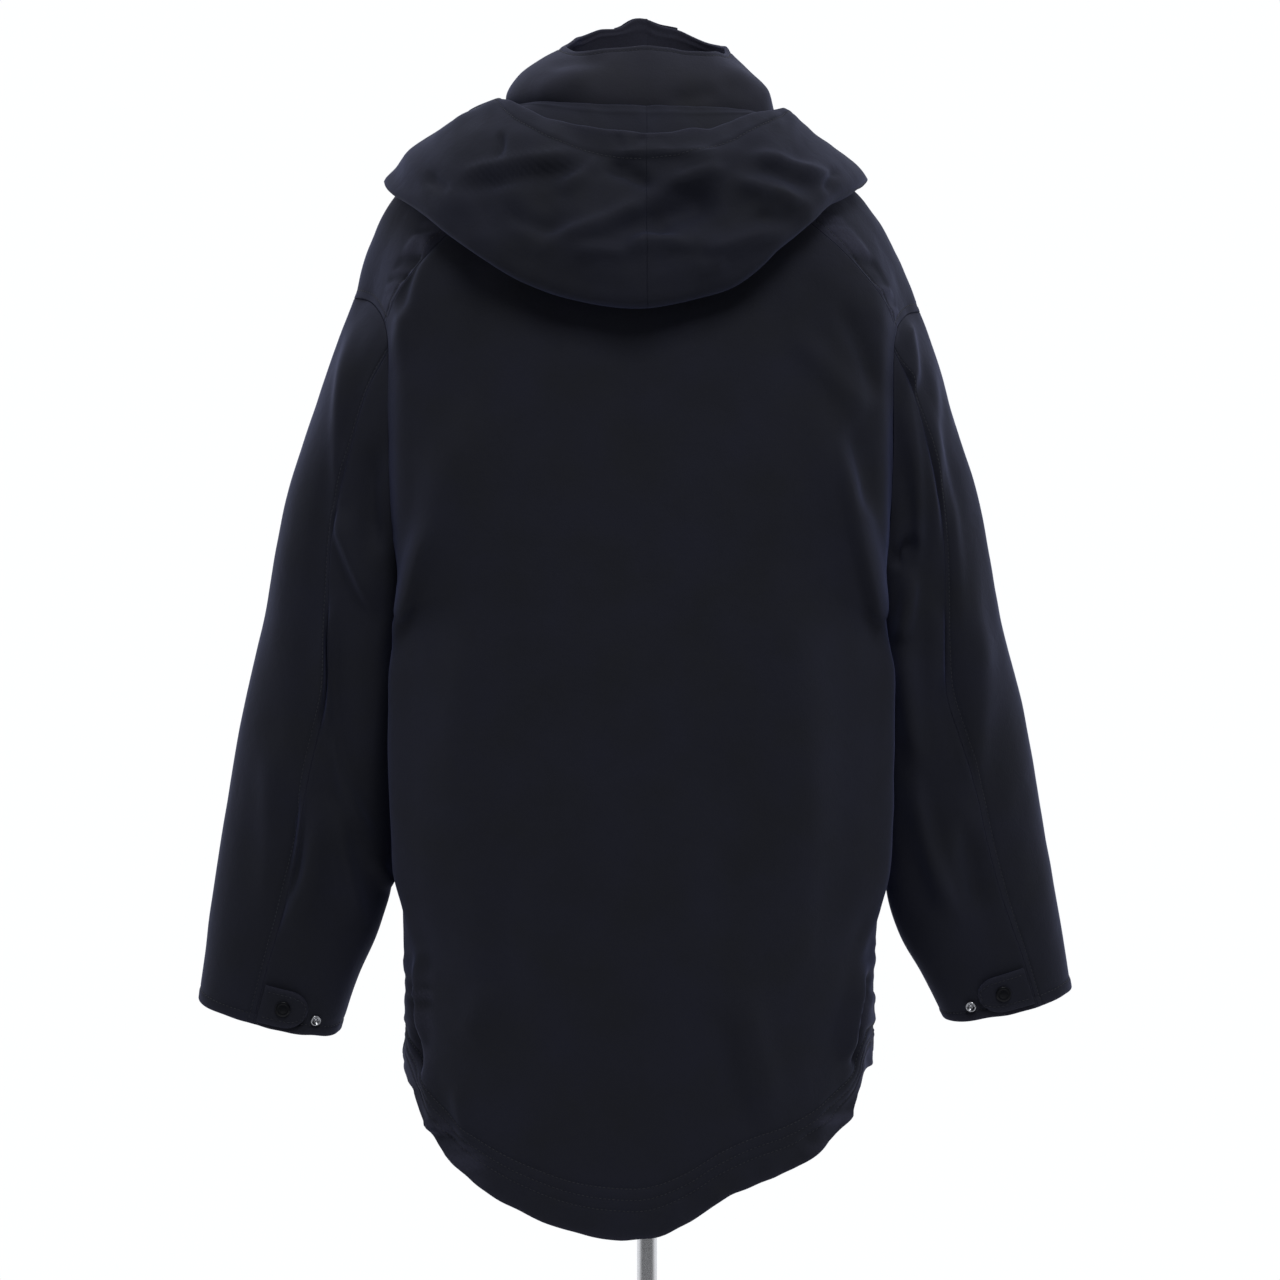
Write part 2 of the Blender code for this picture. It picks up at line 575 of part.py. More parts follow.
# ---- Collar and hood --------------------------------------------------------------------------
def collar_grid(back, front):
    """Stand collar from its front middle round the wearer's left, the back and the right."""
    middle = back.shape[1] // 2
    left_front = front[0, middle - NECK_COLUMNS:middle + 1][::-1]
    left_back = back[0, middle - NECK_COLUMNS:middle + 1]
    right_back = back[0, middle:middle + NECK_COLUMNS + 1]
    right_front = front[0, middle:middle + NECK_COLUMNS + 1][::-1]
    seam = np.concatenate([left_front, left_back[1:], right_back[1:], right_front[1:]])
    turn = np.linspace(0, 1, 2 * NECK_COLUMNS + 1)
    left, right = (np.stack([read(table, name, turn) for name in Collar._fields[1:]], axis=1)
                   for table in (LEFT_COLLAR, RIGHT_COLLAR))
    top = np.concatenate([left, (right * np.array([-1.0, 1.0, 1.0, 1.0]))[-2::-1]])
    swell = top[:, 3:]
    top = top[:, :3]
    rise = np.linspace(0, 1, COLLAR_ROWS + 1)[:, None, None]
    outwards = unit((seam + top) * np.array([1.0, 1.0, 0.0])) + np.array([0.0, 0.0, COLLAR_LEAN])
    grid = seam + (top - seam) * rise + unit(outwards) * np.sin(np.pi * rise ** 0.8) * swell
    grid[0] = seam
    return grid[::-1]


def hood_places(halves):
    """Fine places over a body half near the shoulder, as (column share, row), and their points."""
    rows = np.linspace(0, len(ROOF_ROWS) + 2, 60)
    places = []
    points = []
    for facing, half in halves.items():
        cols = np.linspace(0, half.shape[1] - 1, 80)
        row, col = np.meshgrid(rows, cols, indexing="ij")
        places.append(np.stack([col.ravel() / cols[-1], row.ravel() * facing], axis=1))
        points.append(grid_at(half, row, col).reshape(-1, 3))
    return np.concatenate(places), np.concatenate(points)


def hood_strip(half, out, start_col, reach, puff, rim, neck):
    """One strip of the hood: out along the jacket, round its fold, and back above it to the rim."""
    s = np.linspace(0, 1, HOOD_ROWS + 1)
    bow = np.sin(np.pi * s)
    way = np.where(s < 0.5, 0.03 + 0.97 * bow ** 0.75, rim + (1 - rim) * bow ** 0.85)
    under = read(HOOD_STRIP, "stand", s) + neck * np.clip(1 - s / HOOD_NECK_SHARE, 0, 1) ** 1.5
    over = HOOD_LAYERS + puff * (0.45 + 0.55 * np.sin(np.pi * np.clip(s * 2 - 1, 0, 1)) ** 0.8)
    turn_up = ease((s - HOOD_FOLD_SIDE) / (1 - 2 * HOOD_FOLD_SIDE))
    height = under * (1 - turn_up) + over * turn_up
    col = (start_col + (reach[0] - start_col) * way) * (half.shape[1] - 1)
    row = abs(reach[1]) * way
    return grid_at(half, row, col) + unit(grid_at(out, row, col)) * height[:, None]


def hood_half(back, front, side):
    """Half of the hood: columns from its front end to its centre seam, rows from neck edge to rim."""
    table = LEFT_HOOD if side > 0 else RIGHT_HOOD
    middle = back.shape[1] // 2
    halves = {}
    outs = {}
    for facing, grid in ((1, back), (-1, front)):
        halves[facing] = grid[:, middle::-1] if side > 0 else grid[:, middle:]
        outs[facing] = normals_of(halves[facing], (0, facing, 0))
    places, points = hood_places(halves)
    neck_share = NECK_COLUMNS / (NECK_COLUMNS + SHOULDER_COLUMNS)
    strips = []
    for turn in HOOD_TURNS:
        mark = [read(table, name, turn) for name in ("out", "deep", "height")]
        nearest = places[np.argmin(np.linalg.norm(points - mark * np.array([side, 1, 1]), axis=1))]
        around = HOOD_START + (2 - HOOD_START) * turn
        facing = -1 if around < 1 else 1
        start_col = neck_share * (around if facing < 0 else 2 - around)
        reach = (nearest[0] if turn < 1 else 0.0, max(nearest[1] * facing, 0.0))
        strips.append(hood_strip(halves[facing], outs[facing], start_col, reach,
                                 *(read(table, name, turn) for name in ("puff", "rim", "neck"))))
    return np.stack(strips, axis=1)


def hood_grid(back, front):
    """The whole hood from the wearer's left front end round the back, with its largest folds."""
    left = hood_half(back, front, 1)
    right = hood_half(back, front, -1)
    grid = np.concatenate([left, right[:, -2::-1]], axis=1)
    out = normals_of(grid, (0, -0.3, -1))
    upper = ease((np.linspace(0, 1, HOOD_ROWS + 1) - 0.55) / 0.12)[:, None]
    back_only = ease(grid[:, :, 1] / 0.05)
    lift = fold_lift(HOOD_FOLDS, grid[:, :, 0], grid[:, :, 2]) * upper * back_only
    return grid + out * lift[:, :, None], out


# ---- Cloth pieces -----------------------------------------------------------------------------
class Piece:
    """A grid of cloth points cut from a surface, with outward normals and a wall behind it."""

    def __init__(self, name, grid, out, wall=CLOTH, surface="body"):
        self.name = name
        self.grid = grid.copy()
        self.own = out.copy()
        self.out = out.copy()
        self.wall = wall
        self.surface = surface

    def pull_in(self, distance):
        """Moves each edge off its seam, to the piece's own side of the mitre between the walls."""
        shift = np.zeros_like(self.grid)
        for row, inner in ((0, 1), (-1, -2)):
            shift[row] += self._off_seam(np.s_[row], np.s_[inner])
        for col, inner in ((0, 1), (-1, -2)):
            shift[:, col] += self._off_seam(np.s_[:, col], np.s_[:, inner])
        self.grid += shift * distance

    def _off_seam(self, edge, inner):
        way = 2 * unit(self.grid[inner] - self.grid[edge]) - self.own[edge]
        for flat in (self.out[edge], unit(np.gradient(self.grid[edge], axis=0))):
            way = way - flat * np.sum(way * flat, axis=1, keepdims=True)
        return unit(way)

    def build(self, finish):
        """Closes the wall on the inner side and makes the object."""
        rows, cols = self.grid.shape[:2]
        count = rows * cols
        points = np.concatenate([self.grid.reshape(-1, 3),
                                 (self.grid - self.out * self.wall).reshape(-1, 3)])
        order = points @ np.array(RIM_ORDER)
        faces = []
        for r in range(rows - 1):
            for c in range(cols - 1):
                near = r * cols + c
                a, b, d, e = near, near + cols, near + cols + 1, near + 1
                across = np.linalg.norm(points[a] - points[d]) > np.linalg.norm(points[b] - points[e])
                halves = ((b, d, e), (b, e, a)) if across else ((a, b, d), (a, d, e))
                for half in halves:
                    faces.append(half)
                    faces.append(tuple(count + corner for corner in half[::-1]))
        rim = [c for c in range(cols)]
        rim += [r * cols + cols - 1 for r in range(1, rows)]
        rim += [(rows - 1) * cols + c for c in range(cols - 2, -1, -1)]
        rim += [r * cols for r in range(rows - 2, 0, -1)]
        for here, there in zip(rim, rim[1:] + rim[:1]):
            if order[here] < order[there]:
                faces += [(here, there, count + there), (here, count + there, count + here)]
            else:
                faces += [(here, there, count + here), (there, count + there, count + here)]
        r, c = rows // 2, cols // 2
        turn = np.cross(self.grid[r, c] - self.grid[r - 1, c], self.grid[r, c] - self.grid[r, c - 1])
        if np.dot(turn, self.out[r, c]) < 0:
            faces = [face[::-1] for face in faces]
        return add_object(self.name, points, faces, finish)


def share_normals(pieces):
    """Gives the points that sewn pieces share one common normal, so their walls meet in a mitre."""
    points = np.concatenate([piece.grid.reshape(-1, 3) for piece in pieces])
    out = np.concatenate([piece.out.reshape(-1, 3) for piece in pieces])
    surfaces = np.concatenate([[piece.surface] * piece.grid[..., 0].size for piece in pieces])
    _, group = np.unique(np.round(points * 1e5).astype(np.int64), axis=0, return_inverse=True)
    group = group.reshape(-1)
    total = np.zeros((group.max() + 1, 3))
    for surface in np.unique(surfaces):
        here = surfaces == surface
        sums = np.zeros_like(total)
        np.add.at(sums, group[here], out[here])
        total += unit(sums)
    shared = unit(total[group])
    start = 0
    for piece in pieces:
        size = piece.grid.shape[0] * piece.grid.shape[1]
        piece.out = shared[start:start + size].reshape(piece.grid.shape)
        start += size


def sew(pieces, finish):
    """Opens the seams between pieces by the seam gap and makes them."""
    share_normals(pieces)
    for piece in pieces:
        piece.pull_in(SEAM / 2)
        piece.build(finish)


# ---- Small pieces -----------------------------------------------------------------------------
def lathe(name, profile, sides, finish, place=(0.0, 0.0, 0.0), axis=(0.0, 0.0, 1.0)):
    """A turned solid; profile is (radius, height) from the axis at its start to the axis at its end."""
    place = np.array(place, float)
    up = unit(np.array(axis, float))
    helper = np.array([1.0, 0.0, 0.0]) if abs(up[0]) < 0.8 else np.array([0.0, 1.0, 0.0])
    east = unit(np.cross(up, helper))
    north = np.cross(up, east)
    turn = np.arange(sides) * 2 * math.pi / sides
    ring = np.cos(turn)[:, None] * east + np.sin(turn)[:, None] * north
    points = [place + up * profile[0][1]]
    for radius, height in profile[1:-1]:
        points.extend(place + up * height + ring * radius)
    points.append(place + up * profile[-1][1])
    rings = len(profile) - 2
    last = 1 + (rings - 1) * sides
    faces = []
    for k in range(sides):
        after = (k + 1) % sides
        faces.append((0, 1 + after, 1 + k))
        for low in range(1, last, sides):
            high = low + sides
            faces.append((low + k, low + after, high + after, high + k))
        faces.append((len(points) - 1, last + k, last + after))
    return add_object(name, points, faces, finish)


def snap(name, point, out, radius, height, finish):
    """A round snap part with a soft dome, sitting on the cloth at a point."""
    profile = ((0, SEAM), (radius * 0.94, SEAM), (radius, height * 0.40),
               (radius * 0.80, height * 0.88), (0, height))
    return lathe(name, profile, SNAP_SIDES, finish, point, out)


def cuff_fittings(name, grid, out, turns, cuff):
    """The cuff's tab, its snap cap and the open socket beyond it, on the sleeve's own points."""
    columns = np.arange(grid.shape[1])
    first = np.interp(cuff.tab_start, turns[-1], columns)
    last = np.interp(cuff.tab_end, turns[-1], columns)
    col = np.unique(np.concatenate([np.arange(math.ceil(first * 2), math.floor(last * 2) + 1) / 2,
                                    [first, last, last - 0.12, last - 0.30]]))
    girth = lengths(np.concatenate([grid[-1], grid[-1, :1]]))[-1]
    run = (np.interp(col, columns, turns[-1]) - cuff.tab_start) * girth
    closing = np.clip((run - (run[-1] - TAB_HALF_WIDTH)) / TAB_HALF_WIDTH, 0, 0.93)
    half = TAB_HALF_WIDTH * np.sqrt(1 - closing ** 2)
    row_step = np.linalg.norm(grid[-1, BACK_SEAM_COLUMN] - grid[-2, BACK_SEAM_COLUMN])
    cuff_row = len(grid) - 1
    row = cuff_row - (TAB_RISE + np.linspace(1, -1, 5)[:, None] * half[None, :]) / row_step
    col = col[None, :] + 0 * row
    normal = unit(grid_at(out, row, col))
    base = grid_at(grid, row, col)
    Piece(f"cuff_tab_{name}", base + normal * (LAP + TAB_CLOTH), normal, TAB_CLOTH).build(SHELL)
    for part, turn, rise, lift, size, finish in (
            ("cap", cuff.cap, TAB_RISE, LAP + TAB_CLOTH, (SNAP_RADIUS, SNAP_HEIGHT), SNAP),
            ("socket", cuff.socket, SOCKET_RISE, SEAM, (SOCKET_RADIUS, SOCKET_HEIGHT), SOCKET)):
        row = np.array([cuff_row - rise / row_step])
        col = np.array([np.interp(turn, turns[-1], columns)])
        normal = unit(grid_at(out, row, col))[0]
        snap(f"cuff_{part}_{name}", grid_at(grid, row, col)[0] + normal * lift, normal, *size, finish)


def storm_flap(collar, front):
    """The flap over the closed front, from the collar's top to the hem, and its snap caps."""
    middle = front.shape[1] // 2
    columns = []
    for place in np.linspace(-1, 1, 2 * FLAP_SIDE_COLUMNS + 1):
        out = place * FLAP_HALF_WIDTH
        way = -1 if out > 0 else 1
        step = np.linalg.norm(front[:, middle + way] - front[:, middle], axis=1)
        row = np.arange(len(front)).astype(float)
        below = grid_at(front, row, middle + way * abs(out) / step)
        edge = collar[:, 0] if out >= 0 else collar[:, -1]
        beside = collar[:, 1] if out >= 0 else collar[:, -2]
        share = abs(out) / np.linalg.norm(beside - edge, axis=1)
        above = edge + (beside - edge) * share[:, None]
        columns.append(np.concatenate([above[:-1], below]))
    base = np.stack(columns, axis=1)
    out = normals_of(base, (0, -1, 0))
    Piece("storm_flap", base + out * (FLAP_LAP + FLAP_CLOTH), out, FLAP_CLOTH).build(SHELL)
    height = base[:, 1, 2][::-1]
    for number, snap_height in enumerate(FLAP_SNAP_HEIGHTS, start=1):
        row = np.array([len(base) - 1 - np.interp(snap_height, height, np.arange(len(base)))])
        col = np.array([float(FLAP_SIDE_COLUMNS) - 0.9])
        normal = unit(grid_at(out, row, col))[0]
        snap(f"flap_cap_{number}", grid_at(base, row, col)[0] + normal * (FLAP_LAP + FLAP_CLOTH), normal,
             SNAP_RADIUS, SNAP_HEIGHT, SNAP)


# ---- The stand --------------------------------------------------------------------------------
def dress_form():
    """Limbless torso from the hips to the neck: a stack of ovals, flat below and domed above."""
    turn = np.arange(FORM_SIDES) * 2 * math.pi / FORM_SIDES
    waist = np.linspace(FORM_BOTTOM, FORM_SHOULDER, FORM_WAIST_RINGS)
    above = [row.height for row in FORM if row.height > FORM_SHOULDER]
    heights = np.concatenate([waist, above])
    points = [(0.0, 0.0, FORM_BOTTOM)]
    for height in heights:
        deep = np.where(np.sin(turn) > 0, read(FORM, "back", height), -read(FORM, "front", height))
        points.extend(zip(read(FORM, "wide", height) * np.cos(turn), deep * np.sin(turn),
                          np.full(FORM_SIDES, height)))
    top = FORM[-1]
    for shrink, rise in ((0.88, 0.55), (0.60, 0.88)):
        deep = np.where(np.sin(turn) > 0, top.back, -top.front)
        points.extend(zip(top.wide * shrink * np.cos(turn), deep * shrink * np.sin(turn),
                          np.full(FORM_SIDES, top.height + FORM_CAP_RISE * rise)))
    points.append((0.0, 0.0, top.height + FORM_CAP_RISE))
    rings = len(heights) + 2
    last = 1 + (rings - 1) * FORM_SIDES
    faces = []
    for k in range(FORM_SIDES):
        after = (k + 1) % FORM_SIDES
        faces.append((0, 1 + after, 1 + k))
        for low in range(1, last, FORM_SIDES):
            high = low + FORM_SIDES
            faces.append((low + k, low + after, high + after, high + k))
        faces.append((len(points) - 1, last + k, last + after))
    return add_object("form_torso", points, faces, FORM_COVER)


def stand():
    """Pole and round base; the pole stands in the bore of the base's hub."""
    bore = POLE_RADIUS + SEAM
    bottom = HUB_HEIGHT - BORE_DEPTH
    lathe("form_base", (
        (0, 0), (BASE_RADIUS - BASE_EDGE, 0), (BASE_RADIUS, BASE_EDGE),
        (BASE_RADIUS, BASE_THICKNESS - BASE_EDGE), (BASE_RADIUS - BASE_EDGE, BASE_THICKNESS),
        (HUB_RADIUS * 1.5, BASE_THICKNESS + 0.002), (HUB_RADIUS, BASE_THICKNESS + 0.012),
        (HUB_RADIUS, HUB_HEIGHT - 0.002), (HUB_RADIUS - 0.002, HUB_HEIGHT), (bore, HUB_HEIGHT),
        (bore, bottom), (0, bottom)), BASE_SIDES, CHROME)
    lathe("form_pole", ((0, bottom + SEAM), (POLE_RADIUS, bottom + SEAM),
                        (POLE_RADIUS, FORM_BOTTOM - SEAM), (0, FORM_BOTTOM - SEAM)), POLE_SIDES, CHROME)


def build():
    """Makes every piece."""
    for old in list(bpy.data.objects):
        bpy.data.objects.remove(old, do_unlink=True)
    back = body_grid(1, BACK_FOLDS)
    front = body_grid(-1, FRONT_FOLDS)
    collar = collar_grid(back, front)
    middle = back.shape[1] // 2
    yoke = ROOF_ROWS.index(YOKE_SEAM)
    back_out = normals_of(back, (0, 1, 0))
    front_out = normals_of(front, (0, -1, 0))
    pieces = [
        Piece("back_yoke", back[:yoke + 1], back_out[:yoke + 1]),
        Piece("back_panel", back[yoke:], back_out[yoke:]),
        Piece("front_left", front[:, :middle + 1], front_out[:, :middle + 1]),
        Piece("front_right", front[:, middle:], front_out[:, middle:]),
        Piece("collar", collar, normals_of(collar, (0, 1, 0)), surface="collar"),
    ]
    for side, name, table, seams, folds, cuff in (
            (1, "left", LEFT_SLEEVE, LEFT_SEAMS, LEFT_SLEEVE_FOLDS, LEFT_CUFF),
            (-1, "right", RIGHT_SLEEVE, RIGHT_SEAMS, RIGHT_SLEEVE_FOLDS, RIGHT_CUFF)):
        grid, out, turns = sleeve_grid(table, seams, folds, side, armhole_loop(back, front, side))
        under = list(range(BACK_SEAM_COLUMN, FRONT_SEAM_COLUMN + 1))
        upper = list(range(FRONT_SEAM_COLUMN, grid.shape[1])) + list(range(BACK_SEAM_COLUMN + 1))
        for part, columns in (("under", under), ("upper", upper)):
            pieces.append(Piece(f"{part}_sleeve_{name}", grid[:, columns], out[:, columns],
                                surface="sleeve"))
        cuff_fittings(name, grid, out, turns, cuff)
    sew(pieces, SHELL)
    hood, hood_out = hood_grid(back, front)
    centre = hood.shape[1] // 2
    sew([Piece("hood_left", hood[:, :centre + 1], hood_out[:, :centre + 1]),
         Piece("hood_right", hood[:, centre:], hood_out[:, centre:])], SHELL)
    storm_flap(collar, front)
    dress_form()
    stand()


if __name__ == "__main__":
    build()
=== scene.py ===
"""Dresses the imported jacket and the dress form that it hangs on.

Metres, +Z up, the jacket's back faces +Y and the wearer's left is +X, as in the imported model. Each
cloth panel is a fine grid over the surface of its solid, with the seams, topstitching, folds and
gathers of the real one and a wall behind it.
"""
from __future__ import annotations

import logging
import math
from dataclasses import dataclass
from enum import Enum
from typing import NamedTuple, Optional, Sequence, Union

import bpy
import numpy as np
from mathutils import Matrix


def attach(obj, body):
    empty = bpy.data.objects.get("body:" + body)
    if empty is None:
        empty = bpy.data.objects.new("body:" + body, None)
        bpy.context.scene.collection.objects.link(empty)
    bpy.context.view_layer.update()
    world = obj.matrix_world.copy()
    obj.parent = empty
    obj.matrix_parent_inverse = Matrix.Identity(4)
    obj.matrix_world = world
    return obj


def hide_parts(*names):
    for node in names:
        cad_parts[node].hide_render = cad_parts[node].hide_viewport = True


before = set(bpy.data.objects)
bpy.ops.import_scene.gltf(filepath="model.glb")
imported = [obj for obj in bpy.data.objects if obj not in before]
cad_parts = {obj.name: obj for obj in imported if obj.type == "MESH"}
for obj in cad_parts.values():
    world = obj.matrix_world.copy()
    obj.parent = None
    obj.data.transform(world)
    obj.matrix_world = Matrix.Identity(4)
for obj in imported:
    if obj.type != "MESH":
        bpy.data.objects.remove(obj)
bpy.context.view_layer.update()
LOG = logging.getLogger("jacket")
Array = np.ndarray
Arrays = tuple[Array, ...]
Profile = list[tuple[float, float]]  # radii and heights
Material = bpy.types.Material
EAST, NORTH, UP = np.eye(3)

# ---- Sizes that several pieces share, metres ----
CLOTH = 0.0030  # wall of the padded cloth
TAB_CLOTH = 0.0022  # wall of a cuff tab
FLAP_CLOTH = 0.0026  # wall of the storm flap
SEAM = 0.0003  # gap between two pieces that are sewn together
TAB_LIFT = 0.0006 + TAB_CLOTH + 0.0008  # a tab's outside over the sleeve's smooth surface
FLAP_LIFT = 0.0008 + FLAP_CLOTH + 0.0006  # the flap's outside over the fronts' smooth surface
EDGE_STATIONS = (0.0, 0.0005, 0.0010, 0.0015, 0.0025)  # fine rows beside an edge
GROOVE_STATIONS = (-0.0025, -0.0010, 0.0, 0.0010, 0.0025)  # fine rows beside a stitch row
GROOVE_WIDTH = 0.0014
STATION_GRAIN = 0.0005  # no two rows are nearer than this
WANDER_REACH = 0.0140  # how far from its edge the cloth strays with it
PALE_EDGE_REACH = 0.0030  # how far from an edge it is paler: worn, and a painted highlight on its rolled edge


class Side(Enum):
    """The wearer's two sides, by the sign of X."""

    LEFT = 1
    RIGHT = -1


class Facing(Enum):
    """The body's two faces, by the sign of Y."""

    BACK = 1
    FRONT = -1


class Held(Enum):
    """How a piece of cloth is held."""

    HUNG = "hung"
    DRAPED = "draped"


def table(kind: type, *rows: Sequence[float]) -> tuple:
    """A table whose rows are named tuples of one kind."""
    return tuple(kind(*row) for row in rows)


# ---- Tables: one row for each section, fold or place ----
class Shoulder(NamedTuple):
    """A place from the side of the neck to the dropped armhole."""

    share: float
    out: float
    height: float


LEFT_SHOULDER = table(
    Shoulder,
    (0.00, 0.118, 1.464), (0.25, 0.160, 1.444), (0.50, 0.198, 1.416), (0.75, 0.229, 1.372),
    (1.00, 0.249, 1.310),
)
RIGHT_SHOULDER = table(
    Shoulder,
    (0.00, 0.112, 1.452), (0.25, 0.148, 1.426), (0.50, 0.181, 1.396), (0.75, 0.209, 1.354),
    (1.00, 0.232, 1.298),
)


class Level(NamedTuple):
    """A level section of the body: half widths, depths and squareness."""

    height: float
    left: float
    right: float
    back: float
    front: float
    square: float


BODY_LEVELS = table(
    Level,
    (1.340, 0.216, 0.206, 0.114, -0.104, 2.4),
    (1.260, 0.215, 0.205, 0.121, -0.115, 2.6),
    (1.150, 0.214, 0.204, 0.125, -0.123, 2.8),
    (1.030, 0.206, 0.196, 0.125, -0.125, 2.9),
    (0.900, 0.206, 0.195, 0.124, -0.125, 2.9),
    (0.820, 0.208, 0.196, 0.123, -0.125, 2.8),
    (0.745, 0.206, 0.193, 0.122, -0.125, 2.6),
    (0.700, 0.205, 0.193, 0.121, -0.125, 2.5),
    (0.650, 0.205, 0.189, 0.120, -0.125, 2.7),
    (0.530, 0.200, 0.184, 0.117, -0.125, 2.7),
)


class Hem(NamedTuple):
    """A place of the hem, from the wearer's right to the left."""

    out: float
    height: float


BACK_HEM = table(
    Hem,
    (-0.2000, 0.672), (-0.1800, 0.656), (-0.1765, 0.637), (-0.1610, 0.616), (-0.1240, 0.588),
    (-0.0700, 0.567), (-0.0300, 0.542), (0.0100, 0.529), (0.0500, 0.533), (0.1030, 0.551),
    (0.1400, 0.572), (0.1700, 0.599), (0.1870, 0.625), (0.1930, 0.640), (0.2100, 0.672),
)
FRONT_HEM = table(
    Hem,
    (-0.20, 0.672), (-0.13, 0.662), (0.00, 0.656), (0.13, 0.662), (0.21, 0.672),
)


class Fold(NamedTuple):
    """A large straight fold, from (across, top) to (reach, bottom), its half width and its rise."""

    across: float
    top: float
    reach: float
    bottom: float
    width: float
    rise: float


BACK_FOLDS = table(
    Fold,
    (0.218, 1.045, 0.222, 0.78, 0.024, 0.0195),
    (0.160, 1.200, 0.206, 1.05, 0.026, 0.0070),
    (0.140, 1.330, 0.160, 1.18, 0.024, -0.0050),
    (-0.212, 1.035, -0.216, 0.78, 0.024, 0.0200),
    (-0.150, 1.220, -0.200, 1.05, 0.026, 0.0070),
    (-0.120, 1.310, -0.150, 1.18, 0.024, -0.0050),
)
FRONT_FOLDS = table(
    Fold,
    (0.218, 1.04, 0.222, 0.78, 0.024, 0.013),
    (-0.212, 1.03, -0.216, 0.78, 0.024, 0.012),
    (0.160, 1.16, 0.204, 1.04, 0.026, 0.005),
    (-0.150, 1.19, -0.196, 1.05, 0.026, 0.005),
    (0.120, 0.90, 0.150, 0.69, 0.024, -0.005),
    (-0.110, 0.88, -0.150, 0.68, 0.024, -0.006),
)
HOOD_FOLDS = table(
    Fold,
    (0.157, 1.399, 0.037, 1.416, 0.011, 0.006),
    (0.037, 1.416, -0.150, 1.402, 0.011, 0.006),
    (-0.040, 1.397, -0.138, 1.373, 0.012, 0.004),
    (0.098, 1.340, -0.004, 1.380, 0.014, 0.006),
    (0.010, 1.354, -0.060, 1.380, 0.016, -0.007),
    (0.074, 1.334, -0.112, 1.340, 0.012, 0.005),
)


class Ring(NamedTuple):
    """A tilted ring of a sleeve: outer point, inner point, middle and half depth in Y, and pitch."""

    share: float
    out: float
    out_height: float
    inner: float
    inner_height: float
    middle: float
    deep: float
    pitch: float


LEFT_SLEEVE = table(
    Ring,
    (0.00, 0.2490, 1.310, 0.206, 1.030, 0.000, 0.074, 0.00),
    (0.10, 0.2690, 1.256, 0.210, 0.995, -0.002, 0.069, 0.00),
    (0.25, 0.2950, 1.175, 0.212, 0.950, -0.006, 0.064, 0.02),
    (0.45, 0.3220, 1.059, 0.214, 0.895, -0.012, 0.059, 0.05),
    (0.65, 0.3475, 0.948, 0.216, 0.845, -0.019, 0.055, 0.09),
    (0.80, 0.3630, 0.858, 0.221, 0.796, -0.025, 0.051, 0.13),
    (0.90, 0.3745, 0.786, 0.242, 0.746, -0.030, 0.048, 0.16),
    (1.00, 0.3850, 0.715, 0.264, 0.686, -0.034, 0.045, 0.20),
)
RIGHT_SLEEVE = table(
    Ring,
    (0.00, 0.2320, 1.298, 0.196, 1.030, 0.000, 0.074, 0.00),
    (0.10, 0.2510, 1.246, 0.199, 0.995, -0.002, 0.069, 0.00),
    (0.25, 0.2735, 1.162, 0.200, 0.950, -0.006, 0.064, 0.02),
    (0.45, 0.2985, 1.052, 0.201, 0.895, -0.012, 0.059, 0.05),
    (0.65, 0.3245, 0.945, 0.203, 0.845, -0.019, 0.055, 0.09),
    (0.80, 0.3405, 0.858, 0.207, 0.792, -0.025, 0.050, 0.13),
    (0.90, 0.3530, 0.790, 0.230, 0.746, -0.030, 0.046, 0.16),
    (1.00, 0.3640, 0.724, 0.254, 0.697, -0.034, 0.042, 0.18),
)


class SleeveFold(NamedTuple):
    """A sleeve's large fold, by shares of its length and turns: 0 outer, 0.25 back, 0.5 inner."""

    start: float
    turn: float
    end: float
    reach: float
    width: float
    rise: float


LEFT_SLEEVE_FOLDS = table(
    SleeveFold,
    (0.04, 0.10, 0.55, 0.13, 0.018, 0.005), (0.30, 0.24, 0.62, 0.30, 0.020, -0.006),
    (0.55, 0.20, 0.90, 0.30, 0.018, 0.006), (0.50, 0.70, 0.85, 0.62, 0.020, -0.006),
)
RIGHT_SLEEVE_FOLDS = table(
    SleeveFold,
    (0.06, 0.16, 0.60, 0.17, 0.018, 0.006), (0.10, 0.24, 0.50, 0.25, 0.018, -0.006),
    (0.60, 0.24, 0.88, 0.34, 0.016, 0.006), (0.50, 0.68, 0.85, 0.60, 0.020, -0.006),
)


class Seams(NamedTuple):
    """Turns of a sleeve's two seams at a share of its length."""

    share: float
    back: float
    front: float


LEFT_SEAMS = table(
    Seams,
    (0.00, 0.220, 0.80), (0.35, 0.250, 0.78), (0.75, 0.240, 0.78), (1.00, 0.225, 0.78),
)
RIGHT_SEAMS = table(
    Seams,
    (0.00, 0.22, 0.80), (0.35, 0.25, 0.78), (0.75, 0.21, 0.78), (1.00, 0.18, 0.78),
)


class Cuff(NamedTuple):
    """Turns round a cuff of its tab's ends, its snap cap and its open socket."""

    tab_start: float
    tab_end: float
    cap: float
    socket: float


LEFT_CUFF = Cuff(0.232, 0.342, 0.285, 0.368)
RIGHT_CUFF = Cuff(0.188, 0.318, 0.256, 0.345)


class Collar(NamedTuple):
    """A place of the collar's top edge, from the front middle (0) round the side to the back (1)."""

    turn: float
    out: float
    deep: float
    height: float
    swell: float


